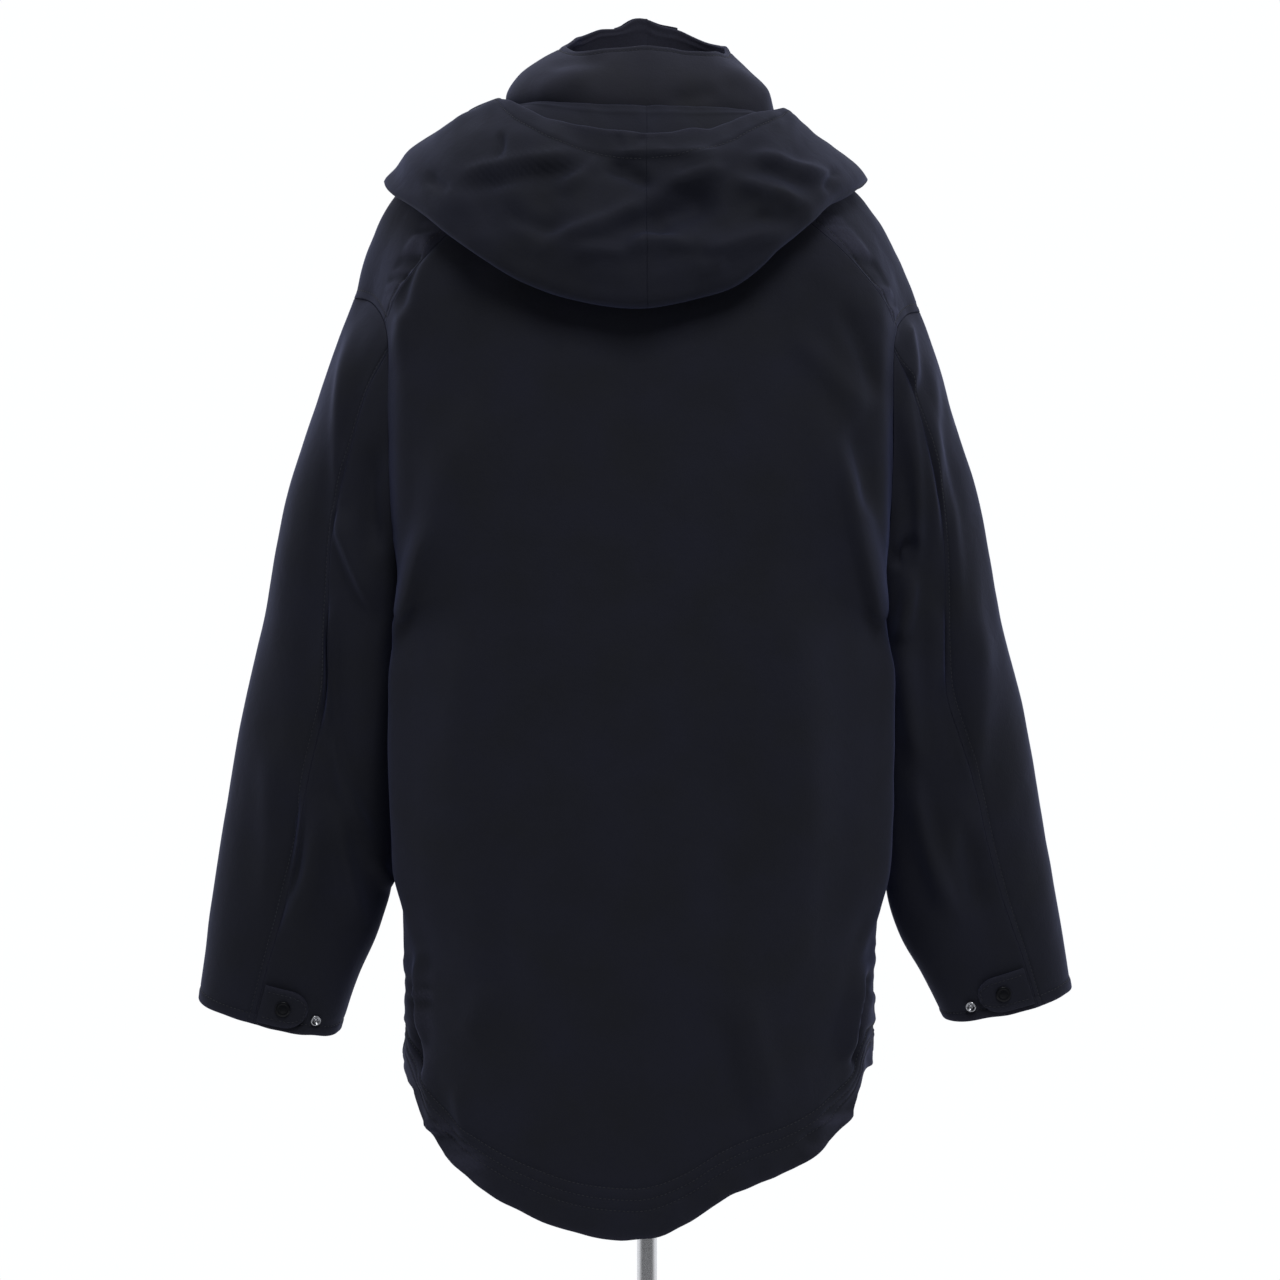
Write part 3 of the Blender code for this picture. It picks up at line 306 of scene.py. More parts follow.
LEFT_COLLAR = table(
    Collar,
    (0.00, 0.000, -0.082, 1.562, 0.004),
    (0.25, 0.050, -0.064, 1.548, 0.007),
    (0.50, 0.068, -0.010, 1.528, 0.017),
    (0.75, 0.054, 0.042, 1.515, 0.013),
    (1.00, 0.000, 0.062, 1.514, 0.007),
)
RIGHT_COLLAR = table(
    Collar,
    (0.00, 0.000, -0.082, 1.562, 0.004),
    (0.25, 0.046, -0.066, 1.540, 0.005),
    (0.50, 0.069, -0.012, 1.525, 0.007),
    (0.75, 0.058, 0.042, 1.512, 0.008),
    (1.00, 0.000, 0.062, 1.514, 0.007),
)


class Hood(NamedTuple):
    """A strip of the hood: its outer fold, loft, the rim's reach and the rise of its neck edge."""

    turn: float
    out: float
    deep: float
    height: float
    puff: float
    rim: float
    neck: float


LEFT_HOOD = table(
    Hood,
    (0.00, 0.118, -0.086, 1.420, 0.000, 0.28, 0.000),
    (0.10, 0.156, -0.064, 1.420, 0.003, 0.20, 0.000),
    (0.24, 0.190, -0.035, 1.410, 0.004, 0.16, 0.001),
    (0.41, 0.210, 0.000, 1.399, 0.005, 0.14, 0.001),
    (0.54, 0.190, 0.068, 1.375, 0.012, 0.19, 0.004),
    (0.70, 0.145, 0.105, 1.340, 0.020, 0.29, 0.008),
    (0.84, 0.085, 0.117, 1.302, 0.023, 0.34, 0.009),
    (1.00, 0.000, 0.121, 1.288, 0.025, 0.36, 0.009),
)
RIGHT_HOOD = table(
    Hood,
    (0.00, 0.112, -0.087, 1.420, 0.000, 0.28, 0.000),
    (0.10, 0.139, -0.064, 1.420, 0.001, 0.20, 0.000),
    (0.24, 0.162, -0.035, 1.412, 0.001, 0.16, 0.000),
    (0.41, 0.177, 0.000, 1.403, 0.003, 0.14, 0.000),
    (0.54, 0.161, 0.068, 1.385, 0.008, 0.18, 0.002),
    (0.70, 0.118, 0.105, 1.348, 0.020, 0.28, 0.007),
    (0.84, 0.060, 0.117, 1.302, 0.023, 0.34, 0.009),
    (1.00, 0.000, 0.121, 1.288, 0.025, 0.36, 0.009),
)


class HoodStrip(NamedTuple):
    """Height of the hood's under layer over the jacket at a share of a strip."""

    share: float
    stand: float


HOOD_STRIP = table(
    HoodStrip,
    (0.00, 0.0026), (0.14, 0.0030), (0.30, 0.0052), (1.00, 0.0052),
)


class Crease(NamedTuple):
    """A soft bent fold seen from behind or before: start, through and end (x, z), width and rise.

    lean runs from -1 to 1 and makes the flank on that side of the fold's way the wider one.
    """

    x0: float
    z0: float
    x1: float
    z1: float
    x2: float
    z2: float
    width: float
    rise: float
    lean: float = 0.0


BACK_CREASES = table(
    Crease,
    (0.184, 1.351, 0.196, 1.315, 0.202, 1.283, 0.0070, -0.0040),
    (0.176, 1.358, 0.196, 1.298, 0.205, 1.240, 0.0090, 0.0040),
    (0.175, 1.125, 0.191, 1.067, 0.212, 1.012, 0.0090, 0.0055, 0.5),
    (0.190, 0.766, 0.189, 0.725, 0.187, 0.676, 0.0045, 0.0045),
    (0.196, 0.742, 0.194, 0.692, 0.185, 0.656, 0.0040, -0.0065),
    (0.187, 0.680, 0.180, 0.643, 0.168, 0.602, 0.0060, 0.0030),
    (-0.113, 1.279, -0.155, 1.234, -0.184, 1.201, 0.0120, 0.0030),
    (-0.155, 1.298, -0.178, 1.257, -0.192, 1.211, 0.0090, -0.0035),
    (-0.164, 1.205, -0.176, 1.159, -0.178, 1.118, 0.0100, -0.0040),
    (-0.158, 1.185, -0.174, 1.096, -0.202, 1.004, 0.0100, 0.0060, -0.5),
    (-0.181, 0.752, -0.169, 0.705, -0.165, 0.668, 0.0060, 0.0070),
    (-0.186, 0.744, -0.176, 0.701, -0.173, 0.664, 0.0042, -0.0095),
    (0.129, 0.740, 0.140, 0.713, 0.152, 0.688, 0.0130, 0.0024),
    (0.157, 0.655, 0.153, 0.627, 0.145, 0.600, 0.0060, 0.0024),
    (-0.057, 0.725, -0.070, 0.668, -0.082, 0.612, 0.0100, -0.0030),
    (-0.078, 0.735, -0.092, 0.680, -0.102, 0.620, 0.0120, 0.0022),
    (0.016, 1.290, 0.016, 1.217, 0.016, 1.130, 0.0160, -0.0018),
    (0.006, 1.086, 0.039, 0.922, 0.071, 0.780, 0.0300, 0.0030),
    (-0.109, 1.086, -0.125, 0.971, -0.135, 0.800, 0.0260, 0.0034),
    (0.140, 1.060, 0.162, 0.922, 0.160, 0.770, 0.0220, 0.0034),
    (-0.050, 0.960, -0.062, 0.860, -0.060, 0.760, 0.0260, -0.0026),
    (0.110, 0.860, 0.118, 0.760, 0.108, 0.640, 0.0180, -0.0024),
)
FRONT_CREASES = table(
    Crease,
    (0.180, 1.23, 0.150, 1.15, 0.140, 1.060, 0.010, 0.0035),
    (-0.172, 1.21, -0.150, 1.14, -0.132, 1.040, 0.011, 0.0040),
    (0.190, 1.12, 0.170, 1.06, 0.180, 0.970, 0.009, 0.0045, 0.4),
    (-0.184, 1.11, -0.166, 1.05, -0.172, 0.950, 0.009, 0.0045, -0.4),
    (0.100, 1.33, 0.120, 1.26, 0.150, 1.210, 0.012, -0.0030),
    (-0.090, 1.32, -0.120, 1.25, -0.150, 1.190, 0.012, -0.0030),
    (0.080, 1.10, 0.092, 0.98, 0.086, 0.850, 0.024, 0.0030),
    (-0.086, 1.06, -0.098, 0.96, -0.094, 0.820, 0.022, 0.0032),
    (0.150, 0.90, 0.158, 0.80, 0.150, 0.690, 0.014, 0.0036),
    (-0.140, 0.88, -0.150, 0.79, -0.138, 0.690, 0.014, 0.0038),
    (0.060, 0.76, 0.070, 0.71, 0.062, 0.670, 0.010, -0.0026),
    (-0.070, 0.79, -0.060, 0.72, -0.066, 0.672, 0.011, -0.0026),
)
HOOD_CREASES = table(
    Crease,
    (0.157, 1.400, 0.109, 1.407, 0.037, 1.416, 0.0060, 0.0030),
    (0.037, 1.416, -0.017, 1.415, -0.071, 1.414, 0.0060, 0.0030),
    (-0.071, 1.414, -0.116, 1.407, -0.165, 1.396, 0.0060, 0.0030),
    (-0.009, 1.385, -0.043, 1.399, -0.065, 1.396, 0.0060, 0.0040),
    (-0.065, 1.396, -0.098, 1.383, -0.138, 1.373, 0.0060, 0.0040),
    (0.037, 1.404, 0.014, 1.398, -0.006, 1.387, 0.0055, -0.0045),
    (0.074, 1.380, 0.051, 1.400, 0.037, 1.407, 0.0060, 0.0035),
    (0.098, 1.340, 0.042, 1.356, -0.004, 1.380, 0.0075, 0.0040, 0.3),
    (0.006, 1.356, -0.026, 1.367, -0.059, 1.381, 0.0120, -0.0050),
    (0.074, 1.334, 0.037, 1.334, 0.015, 1.329, 0.0060, 0.0030),
    (0.015, 1.329, -0.004, 1.343, -0.044, 1.332, 0.0060, 0.0034),
    (-0.044, 1.332, -0.071, 1.341, -0.112, 1.353, 0.0070, 0.0034),
    (-0.039, 1.316, -0.051, 1.320, -0.065, 1.326, 0.0050, 0.0026),
    (0.157, 1.388, 0.095, 1.397, 0.040, 1.403, 0.0070, -0.0036),
    (0.123, 1.435, 0.119, 1.425, 0.124, 1.412, 0.0036, -0.0026),
    (0.030, 1.431, 0.022, 1.425, 0.016, 1.417, 0.0040, -0.0013),
    (0.001, 1.431, 0.008, 1.425, 0.016, 1.417, 0.0040, -0.0013),
    (-0.084, 1.404, -0.110, 1.398, -0.140, 1.388, 0.0055, -0.0030),
    (0.120, 1.372, 0.092, 1.356, 0.060, 1.350, 0.0080, -0.0030),
    (-0.080, 1.366, -0.104, 1.360, -0.132, 1.364, 0.0080, -0.0030),
    (0.186, 1.404, 0.172, 1.396, 0.162, 1.384, 0.0045, -0.0026),
    (-0.160, 1.410, -0.150, 1.398, -0.148, 1.384, 0.0045, -0.0026),
)
SLEEVE_BACK_CREASES = table(
    Crease,
    (0.246, 1.290, 0.255, 1.209, 0.259, 1.133, 0.0070, 0.0040),
    (0.261, 1.133, 0.246, 1.087, 0.224, 1.038, 0.0090, 0.0065, -0.4),
    (0.258, 1.060, 0.268, 0.990, 0.263, 0.936, 0.0080, 0.0050, 0.4),
    (0.266, 0.950, 0.253, 0.898, 0.231, 0.850, 0.0080, 0.0055, 0.3),
    (0.320, 0.950, 0.316, 0.860, 0.327, 0.775, 0.0120, 0.0032),
    (0.278, 0.895, 0.285, 0.826, 0.313, 0.765, 0.0100, 0.0045, -0.3),
    (0.263, 0.890, 0.253, 0.829, 0.240, 0.776, 0.0080, 0.0045),
    (0.231, 0.836, 0.225, 0.821, 0.216, 0.808, 0.0060, 0.0040),
    (0.222, 1.188, 0.230, 1.138, 0.221, 1.087, 0.0110, -0.0060),
    (0.292, 1.205, 0.305, 1.121, 0.316, 1.037, 0.0200, 0.0022),
    (0.300, 0.900, 0.296, 0.850, 0.300, 0.800, 0.0090, -0.0034),
    (-0.224, 0.915, -0.240, 0.841, -0.263, 0.785, 0.0080, 0.0050, 0.3),
    (-0.278, 1.055, -0.278, 0.970, -0.277, 0.895, 0.0110, 0.0028),
    (-0.242, 1.055, -0.243, 1.012, -0.241, 0.968, 0.0080, 0.0032),
    (-0.211, 1.304, -0.219, 1.257, -0.216, 1.222, 0.0060, 0.0045),
    (-0.214, 1.226, -0.226, 1.138, -0.222, 1.078, 0.0065, 0.0050, 0.3),
    (-0.222, 1.082, -0.217, 1.045, -0.212, 1.015, 0.0065, 0.0045),
    (-0.236, 1.268, -0.238, 1.182, -0.241, 1.080, 0.0075, 0.0036),
    (-0.203, 1.080, -0.213, 1.093, -0.226, 1.107, 0.0070, -0.0060),
    (-0.215, 1.020, -0.220, 0.970, -0.229, 0.905, 0.0080, 0.0050),
    (-0.263, 1.205, -0.276, 1.121, -0.289, 1.037, 0.0180, 0.0022),
    (-0.258, 0.880, -0.274, 0.830, -0.280, 0.780, 0.0090, -0.0034),
)
SLEEVE_FRONT_CREASES = table(
    Crease,
    (0.240, 1.24, 0.258, 1.15, 0.262, 1.07, 0.009, 0.0040),
    (0.232, 1.14, 0.248, 1.06, 0.240, 0.98, 0.009, 0.0055, 0.4),
    (0.262, 0.98, 0.290, 0.93, 0.330, 0.89, 0.010, 0.0060, 0.4),
    (0.252, 0.93, 0.275, 0.88, 0.315, 0.85, 0.009, 0.0055, -0.3),
    (0.300, 0.86, 0.316, 0.80, 0.312, 0.75, 0.011, 0.0030),
    (0.230, 0.86, 0.250, 0.82, 0.262, 0.77, 0.008, 0.0045),
    (-0.226, 1.23, -0.242, 1.15, -0.246, 1.06, 0.009, 0.0042),
    (-0.216, 1.12, -0.232, 1.05, -0.224, 0.96, 0.009, 0.0055, -0.4),
    (-0.240, 0.97, -0.268, 0.93, -0.306, 0.90, 0.010, 0.0060, -0.4),
    (-0.232, 0.92, -0.258, 0.87, -0.296, 0.84, 0.009, 0.0050, 0.3),
    (-0.284, 0.86, -0.298, 0.80, -0.294, 0.75, 0.011, 0.0030),
    (-0.214, 0.85, -0.234, 0.81, -0.246, 0.77, 0.008, 0.0042),
)
COLLAR_CREASES = table(
    Crease,
    (0.096, 1.470, 0.070, 1.482, 0.04, 1.486, 0.012, 0.0030),
    (-0.110, 1.470, -0.086, 1.488, -0.06, 1.498, 0.010, 0.0034),
    (-0.060, 1.478, -0.040, 1.470, -0.01, 1.468, 0.009, -0.0022),
    (0.086, 1.500, 0.060, 1.504, 0.03, 1.500, 0.008, -0.0018),
)


class Section(NamedTuple):
    """A level section of the dress form."""

    height: float
    wide: float
    back: float
    front: float


FORM_SECTIONS = table(
    Section,
    (0.760, 0.1500, 0.088, -0.086),
    (0.830, 0.1580, 0.096, -0.088),
    (0.920, 0.1480, 0.088, -0.086),
    (1.040, 0.1300, 0.078, -0.082),
    (1.160, 0.1480, 0.090, -0.096),
    (1.260, 0.1660, 0.096, -0.096),
    (1.340, 0.1740, 0.086, -0.080),
    (1.380, 0.1770, 0.072, -0.068),
    (1.399, 0.1701, 0.064, -0.062),
    (1.413, 0.1561, 0.058, -0.058),
    (1.427, 0.1310, 0.052, -0.055),
    (1.438, 0.1090, 0.049, -0.053),
    (1.448, 0.0880, 0.047, -0.052),
    (1.460, 0.0680, 0.045, -0.051),
    (1.472, 0.0570, 0.044, -0.050),
    (1.490, 0.0540, 0.043, -0.049),
)


class Ripple(NamedTuple):
    """Uneven waves: their size both ways, seed, rise, and how far their pattern is shifted."""

    wide: float
    high: float
    seed: int
    rise: float = 1.0
    shift: tuple[float, float] = (0.0, 0.0)


PADDING = (Ripple(0.045, 0.060, 5), Ripple(0.017, 0.024, 6, 0.45))
WANDER = (Ripple(0.019, 0.019, 21),)
GATHERS = (Ripple(0.0078, 0.030, 14), Ripple(0.0055, 0.010, 15, 0.7, (30.0, 0.0)))
HOOD_CRUMPLE = (Ripple(0.026, 0.017, 64, 0.0022, (40.0, 9.0)), Ripple(0.012, 0.009, 65, 0.0009, (70.0, 0.0)))
PUCKER_SEED = 7


class Worn(NamedTuple):
    """Creases that show on the cloth that faces +Y times toward, in full where it leans there."""

    creases: Sequence[Crease]
    toward: int
    slant: float
    early: float


BACK_WORN = (Worn(BACK_CREASES, 1, 0.30, 0.25),)
FRONT_WORN = (Worn(FRONT_CREASES, -1, 0.30, 0.25),)
SLEEVE_WORN = (Worn(SLEEVE_BACK_CREASES, 1, 0.35, 0.2), Worn(SLEEVE_FRONT_CREASES, -1, 0.35, 0.2))
COLLAR_WORN = (Worn(COLLAR_CREASES, 1, 0.4, 0.2),)


# ---- Curves and grids ----
def hermite(values: Array, tangent: Array, step: Array, k: Array, s: Array) -> Array:
    """Cubic pieces: each leaves value k and reaches the next one with the slopes given there.

    Args:
        values: The values at the knots.
        tangent: The slopes there.
        step: The distance from each knot to the next.
        k: The number of the knot before each read.
        s: The share of the step to the next knot.

    Returns:
        The values at the reads.
    """
    rise = s * s * (3 - 2 * s)
    leave = s * (1 - s) ** 2 * step[k] * tangent[k]
    arrive = s * s * (s - 1) * step[k] * tangent[k + 1]
    return (1 - rise) * values[k] + rise * values[k + 1] + leave + arrive


def read(rows: Sequence[NamedTuple], name: str, at: Union[float, Array]) -> Array:
    """Reads a table's column along its first one. A row's slope is the harmonic mean of the slopes
    on both sides, or level where they differ in sign, so the curve never overshoots.

    Args:
        rows: The table, rising or falling in its first column.
        name: The column.
        at: Values of the first column.

    Returns:
        The column's values there.
    """
    rows = rows if rows[0][0] < rows[-1][0] else rows[::-1]
    knots = np.array([row[0] for row in rows])
    values = np.array([getattr(row, name) for row in rows])
    step = np.diff(knots)
    slope = np.diff(values) / step
    tangent = np.concatenate([slope[:1], 0 * slope[1:], slope[-1:]])
    product = slope[:-1] * slope[1:]
    same_way = product > 0
    tangent[1:-1][same_way] = 2 * product[same_way] / (slope[:-1] + slope[1:])[same_way]
    at = np.clip(at, knots[0], knots[-1])
    k = np.clip(np.searchsorted(knots, at) - 1, 0, len(step) - 1)
    return hermite(values, tangent, step, k, (at - knots[k]) / step[k])


def ease(value: Union[float, Array]) -> Array:
    """0 below 0, 1 above 1, and 3s² - 2s³ between."""
    value = np.clip(value, 0, 1)
    return value * value * (3 - 2 * value)


def bell(value: Array) -> Array:
    """1 at 0, falling to both sides as e to the minus square."""
    return np.exp(-(value ** 2))


def points_of(x: Union[float, Array], y: Union[float, Array], z: Union[float, Array]) -> Array:
    """Points from their coordinates, of which any may be one number for all."""
    return np.stack(np.broadcast_arrays(x, y, z), axis=-1)


def lengths(points: Array) -> Array:
    """Distance along a row of points, from 0."""
    return np.concatenate([[0.0], np.cumsum(np.linalg.norm(np.diff(points, axis=0), axis=1))])


def sample(at: Array, run: Array, rows: Array) -> Array:
    """Rows of numbers that lie at the places run, read straight between them at others."""
    return np.stack([np.interp(at, run, column) for column in rows.T], axis=1)


def along(points: Array, shares: Sequence[float]) -> Array:
    """Points at the given shares of a curve's length."""
    run = lengths(points)
    return sample(np.asarray(shares) * run[-1], run, points)


def unit(vectors: Array) -> Array:
    """Vectors of length one."""
    return vectors / np.maximum(np.linalg.norm(vectors, axis=-1, keepdims=True), 1e-12)


def grid_cross(grid: Array) -> Array:
    """Unit cross products of a grid's two ways."""
    return unit(np.cross(np.gradient(grid, axis=0), np.gradient(grid, axis=1)))


def normals_of(grid: Array, outwards: Sequence[float]) -> Array:
    """Normals of a grid, all turned to the side that is given at its middle."""
    normals = grid_cross(grid)
    middle = normals[grid.shape[0] // 2, grid.shape[1] // 2]
    return normals if np.dot(middle, outwards) > 0 else -normals


def soften(normals: Array, times: int) -> Array:
    """Averages normals with their neighbours on the grid.

    Args:
        normals: The normals, (rows, columns, 3).
        times: How often.

    Returns:
        The normals, again of length one.
    """
    for _ in range(times):
        for axis in (0, 1):
            ends = [normals.take([0], axis), normals, normals.take([-1], axis)]
            wide = np.concatenate(ends, axis=axis)
            size = normals.shape[axis]
            normals = sum(wide.take(range(step, step + size), axis) for step in range(3))
        normals = unit(normals)
    return normals


def grid_at(grid: Array, row: Array, col: Array) -> Array:
    """Reads a grid straight between its own points.

    Args:
        grid: The points, (rows, columns, 3).
        row: Fractional rows.
        col: Fractional columns, as many.

    Returns:
        The points there.
    """
    r = np.clip(np.floor(row).astype(int), 0, grid.shape[0] - 2)
    c = np.clip(np.floor(col).astype(int), 0, grid.shape[1] - 2)
    u = (row - r)[..., None]
    v = (col - c)[..., None]
    near = grid[r, c] * (1 - v) + grid[r, c + 1] * v
    far = grid[r + 1, c] * (1 - v) + grid[r + 1, c + 1] * v
    return near * (1 - u) + far * u


def cubic(points: Array, at: Array) -> Array:
    """Reads points at fractional places along their first axis, on cubic pieces.

    The slope at a point weighs the two neighbouring slopes by the other one's length, so uneven
    spacing makes no wave.

    Args:
        points: The points, (count, others, 3).
        at: Fractional places, (reads,).

    Returns:
        The points there, (reads, others, 3).
    """
    step = np.maximum(np.linalg.norm(np.diff(points, axis=0), axis=-1, keepdims=True), 1e-9)
    slope = np.diff(points, axis=0) / step
    inner = (slope[:-1] * step[1:] + slope[1:] * step[:-1]) / (step[:-1] + step[1:])
    tangent = np.concatenate([slope[:1], inner, slope[-1:]])
    k = np.clip(np.floor(at).astype(int), 0, len(points) - 2)
    return hermite(points, tangent, step, k, (at - k)[:, None, None])


def refine(grid: Array, rows: Array, cols: Array) -> Array:
    """A grid's surface at fractional rows and columns: cubic down its columns, then across."""
    down = cubic(grid, rows)
    return cubic(down.swapaxes(0, 1), cols).swapaxes(0, 1)


def fold_lift(folds: Sequence[Fold], across: Array, height: Array) -> Array:
    """Lift of soft straight ridges and troughs, each a bell in its width that fades at its ends.

    Args:
        folds: The folds.
        across: Distances across the cloth.
        height: Heights.

    Returns:
        The lift at each place.
    """
    lift = np.zeros_like(across)
    for fold in folds:
        run = np.array([fold.reach - fold.across, fold.bottom - fold.top])
        reach = np.hypot(*run)
        run = run / reach
        right = across - fold.across
        up = height - fold.top
        ahead = (right * run[0] + up * run[1]) / reach
        aside = right * run[1] - up * run[0]
        fade = ease(np.minimum(ahead, 1 - ahead) / 0.28 + 0.35)
        lift += fold.rise * fade * bell(aside / fold.width)
    return lift


def crease_lift(creases: Sequence[Crease], x: Array, z: Array) -> Array:
    """Lift of soft bent folds: a bell of the distance to a curve through three places.

    Args:
        creases: The folds.
        x: Places across.
        z: Heights.

    Returns:
        The lift at each place.
    """
    segments = 10
    reach = 3.2
    lift = np.zeros_like(x)
    s = np.linspace(0, 1, segments + 1)[:, None]
    for crease in creases:
        start, through, end = np.array(crease[:6]).reshape(3, 2)
        pull = 2 * through - (start + end) / 2
        curve = (1 - s) ** 2 * start + 2 * s * (1 - s) * pull + s * s * end
        west, low = curve.min(axis=0) - reach * crease.width
        east, high = curve.max(axis=0) + reach * crease.width
        near = (x > west) & (x < east) & (z > low) & (z < high)
        place = np.stack([x[near], z[near]], axis=1)[:, None, :]
        way = np.diff(curve, axis=0)[None]
        gap = place - curve[None, :-1]
        share = np.clip((gap * way).sum(2) / (way * way).sum(2), 0, 1)
        aside = gap - way * share[..., None]
        distance = np.hypot(aside[..., 0], aside[..., 1])
        nearest = distance.argmin(axis=1)
        pick = np.arange(len(nearest)), nearest
        turn = way[0, nearest, 0] * aside[pick][:, 1] - way[0, nearest, 1] * aside[pick][:, 0]
        width = crease.width * (1 + crease.lean * np.sign(turn))
        passed = (nearest + share[pick]) / segments
        fade = ease(np.minimum(passed, 1 - passed) / 0.35 + 0.12)
        lift[near] += crease.rise * fade * bell(distance[pick] / width)
    return lift


def noise(u: Array, v: Array, seed: int) -> Array:
    """Smooth uneven waves: random values at whole places, eased between them.

    Args:
        u: Places one way.
        v: Places the other way.
        seed: Which random values.

    Returns:
        A value between -1 and 1 at each place.
    """
    cells = 61
    values = np.random.default_rng(seed).uniform(-1, 1, (cells, cells))
    left = np.floor(u).astype(int)
    low = np.floor(v).astype(int)
    s = ease(u - left)
    t = ease(v - low)
    near, far = (values[left % cells, line % cells] * (1 - s) + values[(left + 1) % cells, line % cells] * s
                 for line in (low, low + 1))
    return near * (1 - t) + far * t


def ripple(kinds: Sequence[Ripple], u: Array, v: Array) -> Array:
    """Sum of several kinds of uneven waves at two coordinates of the cloth, in metres."""
    return sum(kind.rise * noise(u / kind.wide + kind.shift[0], v / kind.high + kind.shift[1], kind.seed)
               for kind in kinds)


# ---- Meshes ----
def make_object(name: str, points: Array, faces: list, finish: Material,
                places: Optional[Array] = None, wear_and_painted_light: Optional[Array] = None) -> bpy.types.Object:
    """Makes one smooth object.

    Args:
        name: Its name.
        points: Its points, (count, 3).
        faces: Lists of point numbers.
        finish: Its material.
        places: Places on the flat cloth, one for each point, in metres.
        wear_and_painted_light: Paler share of each point: worn edges, with painted highlight and painted
            light.

    Returns:
        The object, linked to the scene.
    """
    mesh = bpy.data.meshes.new(name)
    mesh.from_pydata(points.tolist(), [], faces)
    mesh.shade_smooth()
    if places is not None:
        corners = np.empty(len(mesh.loops), dtype=np.int32)
        mesh.loops.foreach_get("vertex_index", corners)
        mesh.uv_layers.new(name="cloth").data.foreach_set("uv", places[corners].ravel())
    if wear_and_painted_light is not None:
        mesh.attributes.new("wear_and_painted_light", "FLOAT", "POINT").data.foreach_set("value", wear_and_painted_light.ravel())
    mesh.materials.append(finish)
    made = bpy.data.objects.new(name, mesh)
    bpy.context.scene.collection.objects.link(made)
    return made


def ride_root(piece: bpy.types.Object, slot: str, *nodes: str) -> bpy.types.Object:
    """Lets a piece ride on the one body.

    Args:
        piece: The piece.
        slot: Not used.
        nodes: The solids that it stands for, which are hidden.

    Returns:
        The piece.
    """
    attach(piece, "root")
    if nodes:
        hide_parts(*nodes)
    LOG.info("%s: %d faces", piece.name, len(piece.data.polygons))
    return piece


def capped_rings(foot: Array, rings: Array, top: Array) -> tuple[Array, list]:
    """A stack of rings, closed by a fan to a point at each end.

    Args:
        foot: The point under the first ring.
        rings: The rings, (count, sides, 3).
        top: The point over the last ring.

    Returns:
        Points and faces.
    """
    count, sides = rings.shape[:2]
    points = np.concatenate([[foot], rings.reshape(-1, 3), [top]])
    here = 1 + np.arange(sides)
    after = np.roll(here, -1)
    low = (np.arange(count - 1) * sides)[:, None]
    quads = np.stack([low + here, low + after, low + after + sides, low + here + sides], axis=-1)
    last = (count - 1) * sides
    faces = quads.reshape(-1, 4).tolist()
    faces += np.stack([0 * here, after, here], axis=1).tolist()
    faces += np.stack([0 * here + len(points) - 1, last + here, last + after], axis=1).tolist()
    return points, faces


# ---- Cloth panels ----
@dataclass(frozen=True)
class Edge:
    """How one edge of a panel is sewn."""

    rows: tuple[float, ...] = ()  # distances of its stitch rows
    groove: float = 0.0006  # how deep the thread pulls the cloth in
    pucker: float = 0.0003  # height of the small waves beside the edge
    wave: float = 0.0110  # length of such a wave
    reach: float = 0.0120  # how far they reach into the panel
    turned: float = 0.0  # extra thickness of a turned edge, up to its last stitch row
    hold: float = 0.0  # distance over which folds die away towards the edge
    wear_and_painted_light: float = 0.3  # how much paler the edge is: worn, and a painted highlight on its rolled edge
    roll: float = 0.0009  # distance over which the edge rounds off
    sink: float = 0.35  # how far it rounds, as a share of half the wall
    wander: float = 0.0  # how far the edge strays from its line
    gap: float = SEAM / 2  # half the gap to the neighbour


ROUNDED = dict(roll=0.0018, sink=0.8)  # an edge that shows, turned in on itself


class Sewn(Enum):
    """The kinds of edges on this jacket. Two edges of one seam pucker alike, so they meet."""

    SEAM = Edge(hold=0.006)
    TOPSTITCHED = Edge(rows=(0.006,), hold=0.006)
    ARMHOLE = Edge(rows=(0.006,), hold=0.012)
    SLEEVE_HEAD = Edge(hold=0.012)
    HEM = Edge(rows=(0.021, 0.029, 0.037), groove=0.0008, pucker=0.0015, wave=0.012, reach=0.034,
               turned=0.0007, wear_and_painted_light=0.9, wander=0.0011, **ROUNDED)
    CUFF = Edge(rows=(0.009,), pucker=0.0010, wave=0.013, reach=0.014, turned=0.0007, wear_and_painted_light=0.9,
                wander=0.0010, **ROUNDED)
    COLLAR_TOP = Edge(rows=(0.006,), pucker=0.0014, wave=0.021, reach=0.018, turned=0.0006, wear_and_painted_light=0.9,
                      wander=0.0030, **ROUNDED)
    HOOD_RIM = Edge(rows=(0.013,), pucker=0.0016, wave=0.016, reach=0.022, turned=0.0008, wear_and_painted_light=0.9,
                    wander=0.0018, **ROUNDED)
    HOOD_NECK = Edge(rows=(0.005,), pucker=0.0008, reach=0.010)
    HOOD_CENTRE = Edge(pucker=0.0004, wear_and_painted_light=0.0, roll=0.0006, sink=0.05, gap=0.00003)
    FLAP = Edge(rows=(0.006,), turned=0.0004, wear_and_painted_light=0.8, **ROUNDED)
    FLAP_TOP = Edge(rows=(0.006,), turned=0.0004, wear_and_painted_light=0.8, wander=0.0030, **ROUNDED)
    TAB = Edge(rows=(0.004,), groove=0.0004, pucker=0.0002, wear_and_painted_light=0.8, roll=0.0014, sink=0.8)


